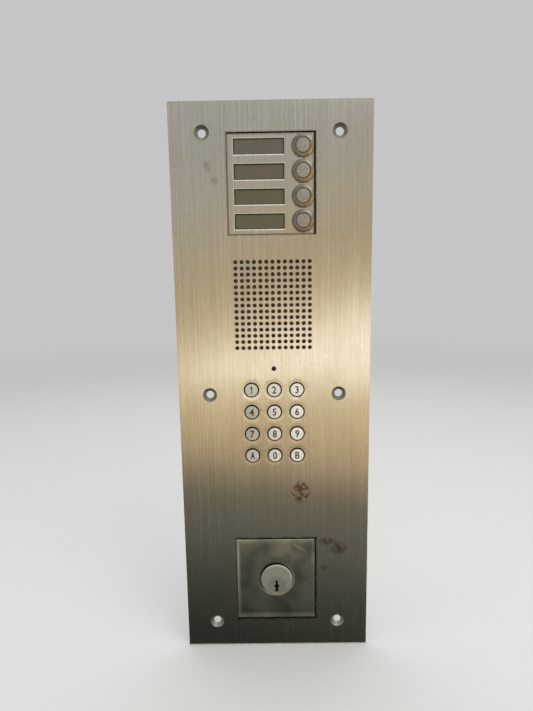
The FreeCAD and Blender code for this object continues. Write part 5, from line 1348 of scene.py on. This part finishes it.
def build_stage():
    """The camera at the photograph's angle, a pale floor, soft lamps and an even pale world."""
    scene = bpy.context.scene
    scene.view_settings.view_transform = "Standard"
    camera = bpy.data.cameras.new("camera")
    camera.sensor_width, camera.lens = 36.0, 25.97
    camera.clip_start, camera.clip_end = 0.01, 50
    eye = bpy.data.objects.new("camera", camera)
    scene.collection.objects.link(eye)
    ahead, up = Vector((-0.0082, 0.9881, -0.1539)).normalized(), Vector((0.0145, 0.154, 0.988)).normalized()
    right = ahead.cross(up).normalized()
    turn = Matrix((right, right.cross(ahead), -ahead)).transposed()
    eye.matrix_world = Matrix.Translation(Vector((-2.5, -423.4, 98.5)) * MM) @ turn.to_4x4()
    scene.camera = eye

    scene.world = bpy.data.worlds.new("room")
    scene.world.use_nodes = True
    background = scene.world.node_tree.nodes["Background"].inputs
    background["Color"].default_value, background["Strength"].default_value = (*looks().room, 1), 1.0

    pale = Finish("pale_floor")
    pale.done(pale.blend(pale.noise(0.3), (0.70, 0.70, 0.69), (0.74, 0.74, 0.73)), 0.9)
    fade_from, fade_to = 900, 2400
    edge = pale.rise(far(pale.x, pale.y), fade_from, fade_to)
    hidden = edge.most(pale.node("ShaderNodeNewGeometry", {}, {}, "Backfacing"))
    clear = pale.node("ShaderNodeBsdfTransparent", {}, {})
    matt = Wire(pale.tree, pale.surface.outputs[0])
    pale.show(pale.node("ShaderNodeMixShader", {}, {0: hidden, 1: matt, 2: clear}))
    level = -PLATE_HEIGHT / 2 - 0.02
    stage_object("floor", [(x, y, level) for x, y in circle(0, 0, 5000, 64)()], pale.material)

    room_card("graded_wall", True, -232.0, 700.0, -1150, 0.28, WALL_LIGHT)
    room_card("graded_floor", False, -1150.0, -2.0, level + 1, 0.3, FLOOR_LIGHT)
    area_lamp("key_light", (700, -900, 1100), (0, 0, 60), 900, 900, looks().key_power, (1.0, 0.98, 0.95))
    area_lamp("top_light", (0, 150, 1400), (0, 0, 0), 1400, 1000, looks().top_power, (1.0, 1.0, 1.0))


# The add-on


class EntryPanelLooks(bpy.types.PropertyGroup):
    """Sizes and colours of the panel that a user would change."""

    edge_break: FloatProperty(
        name="Edge break", description="Broken edge of the front plate", default=0.18 * MM, unit="LENGTH"
    )
    character_width: FloatProperty(
        name="Character width", description="Widest engraved character", default=3.4 * MM, unit="LENGTH"
    )
    character_height: FloatProperty(
        name="Character height", description="Engraved characters", default=5.9 * MM, unit="LENGTH"
    )
    steel: FloatVectorProperty(
        name="Steel", description="Light tone of the brushed steel", default=(0.66, 0.63, 0.56), subtype="COLOR"
    )
    steel_shadow: FloatVectorProperty(
        name="Steel streaks",
        description="Dark tone of the brushed steel",
        default=(0.53, 0.50, 0.43),
        subtype="COLOR",
    )
    lens: FloatVectorProperty(
        name="Windows", description="Smoked name windows", default=(0.110, 0.101, 0.052), subtype="COLOR"
    )
    # The keys' tone at the right, where they are painted lighter as if lit from that side.
    keys: FloatVectorProperty(
        name="Keys", description="Bright tone of the keys", default=(0.92, 0.895, 0.82), subtype="COLOR"
    )
    # Painted shade over the keys of the left column.
    keys_painted_shade: FloatVectorProperty(
        name="Keys in painted shade",
        description="Tone of the keys in the left column",
        default=(0.40, 0.39, 0.35),
        subtype="COLOR",
    )
    room: FloatVectorProperty(
        name="Room", description="Even light of the room", default=(0.56, 0.56, 0.56), subtype="COLOR"
    )
    key_power: FloatProperty(
        name="Key light", description="Large soft lamp in front, above the camera", default=6.0, unit="POWER"
    )
    top_power: FloatProperty(name="Top light", description="Large soft lamp overhead", default=12.0, unit="POWER")


class ENTRYPANEL_OT_stage(bpy.types.Operator):
    """Makes the camera, the floor, the lamps and what the steel mirrors"""

    bl_idname = "entry_panel.stage"
    bl_label = "Stage"

    def execute(self, context):
        build_stage()
        return {"FINISHED"}


class ENTRYPANEL_OT_front_plate(bpy.types.Operator):
    """Builds the brushed steel plate with its holes, and black strips in the gaps of its openings that stand in for
    shade
    """

    bl_idname = "entry_panel.front_plate"
    bl_label = "Front plate"

    def execute(self, context):
        build_front_plate()
        return {"FINISHED"}


class ENTRYPANEL_OT_call_panel(bpy.types.Operator):
    """Builds the sheet of the call module"""

    bl_idname = "entry_panel.call_panel"
    bl_label = "Call panel"

    def execute(self, context):
        build_call_panel()
        return {"FINISHED"}


class ENTRYPANEL_OT_name_windows(bpy.types.Operator):
    """Builds the name windows, their lamps and the lamp housing"""

    bl_idname = "entry_panel.name_windows"
    bl_label = "Name windows"

    def execute(self, context):
        build_name_windows()
        return {"FINISHED"}


class ENTRYPANEL_OT_call_buttons(bpy.types.Operator):
    """Builds the bezels, caps, springs, nuts and switches of the call buttons"""

    bl_idname = "entry_panel.call_buttons"
    bl_label = "Call buttons"

    def execute(self, context):
        build_call_buttons()
        return {"FINISHED"}


class ENTRYPANEL_OT_keys(bpy.types.Operator):
    """Builds the twelve engraved keys and the rubber mat with its domes"""

    bl_idname = "entry_panel.keys"
    bl_label = "Keys"

    def execute(self, context):
        build_keys()
        return {"FINISHED"}


class ENTRYPANEL_OT_lock(bpy.types.Operator):
    """Builds the lock plate, cylinder, plug, housing and ring nut"""

    bl_idname = "entry_panel.lock"
    bl_label = "Lock"

    def execute(self, context):
        build_lock()
        return {"FINISHED"}


class ENTRYPANEL_OT_loudspeaker(bpy.types.Operator):
    """Builds the loudspeaker with its cloth and foam ring, and the microphone"""

    bl_idname = "entry_panel.loudspeaker"
    bl_label = "Loudspeaker"

    def execute(self, context):
        build_loudspeaker()
        build_dust_cloth()
        return {"FINISHED"}


class ENTRYPANEL_OT_fixings(bpy.types.Operator):
    """Builds the studs, nuts, pillars and screws"""

    bl_idname = "entry_panel.fixings"
    bl_label = "Fixings"

    def execute(self, context):
        build_fixings()
        return {"FINISHED"}


class ENTRYPANEL_OT_electronics(bpy.types.Operator):
    """Builds the parts of the control board and the details of the key switch"""

    bl_idname = "entry_panel.electronics"
    bl_label = "Electronics"

    def execute(self, context):
        build_electronics()
        return {"FINISHED"}


class ENTRYPANEL_OT_other_finishes(bpy.types.Operator):
    """Gives the pieces that keep their shape their finish"""

    bl_idname = "entry_panel.other_finishes"
    bl_label = "Other finishes"

    def execute(self, context):
        finish_kept_pieces()
        return {"FINISHED"}


OPERATORS = [
    ENTRYPANEL_OT_stage,
    ENTRYPANEL_OT_front_plate,
    ENTRYPANEL_OT_call_panel,
    ENTRYPANEL_OT_name_windows,
    ENTRYPANEL_OT_call_buttons,
    ENTRYPANEL_OT_keys,
    ENTRYPANEL_OT_lock,
    ENTRYPANEL_OT_loudspeaker,
    ENTRYPANEL_OT_fixings,
    ENTRYPANEL_OT_electronics,
    ENTRYPANEL_OT_other_finishes,
]


class ENTRYPANEL_PT_sidebar(bpy.types.Panel):
    """Lists the steps that build the panel, and the sizes and colours that they use"""

    bl_label = "Entry panel"
    bl_space_type = "VIEW_3D"
    bl_region_type = "UI"
    bl_category = "Entry panel"

    def draw(self, context):
        for step in OPERATORS:
            self.layout.operator(step.bl_idname)
        for name in EntryPanelLooks.__annotations__:
            self.layout.prop(context.scene.entry_panel_looks, name)


CLASSES = [EntryPanelLooks, *OPERATORS, ENTRYPANEL_PT_sidebar]


def register():
    for item in CLASSES:
        bpy.utils.register_class(item)
    bpy.types.Scene.entry_panel_looks = PointerProperty(type=EntryPanelLooks)


def unregister():
    del bpy.types.Scene.entry_panel_looks
    for item in reversed(CLASSES):
        bpy.utils.unregister_class(item)


def main():
    register()
    for step in OPERATORS:
        getattr(bpy.ops.entry_panel, step.bl_idname.split(".")[1])()


if __name__ == "__main__":
    main()
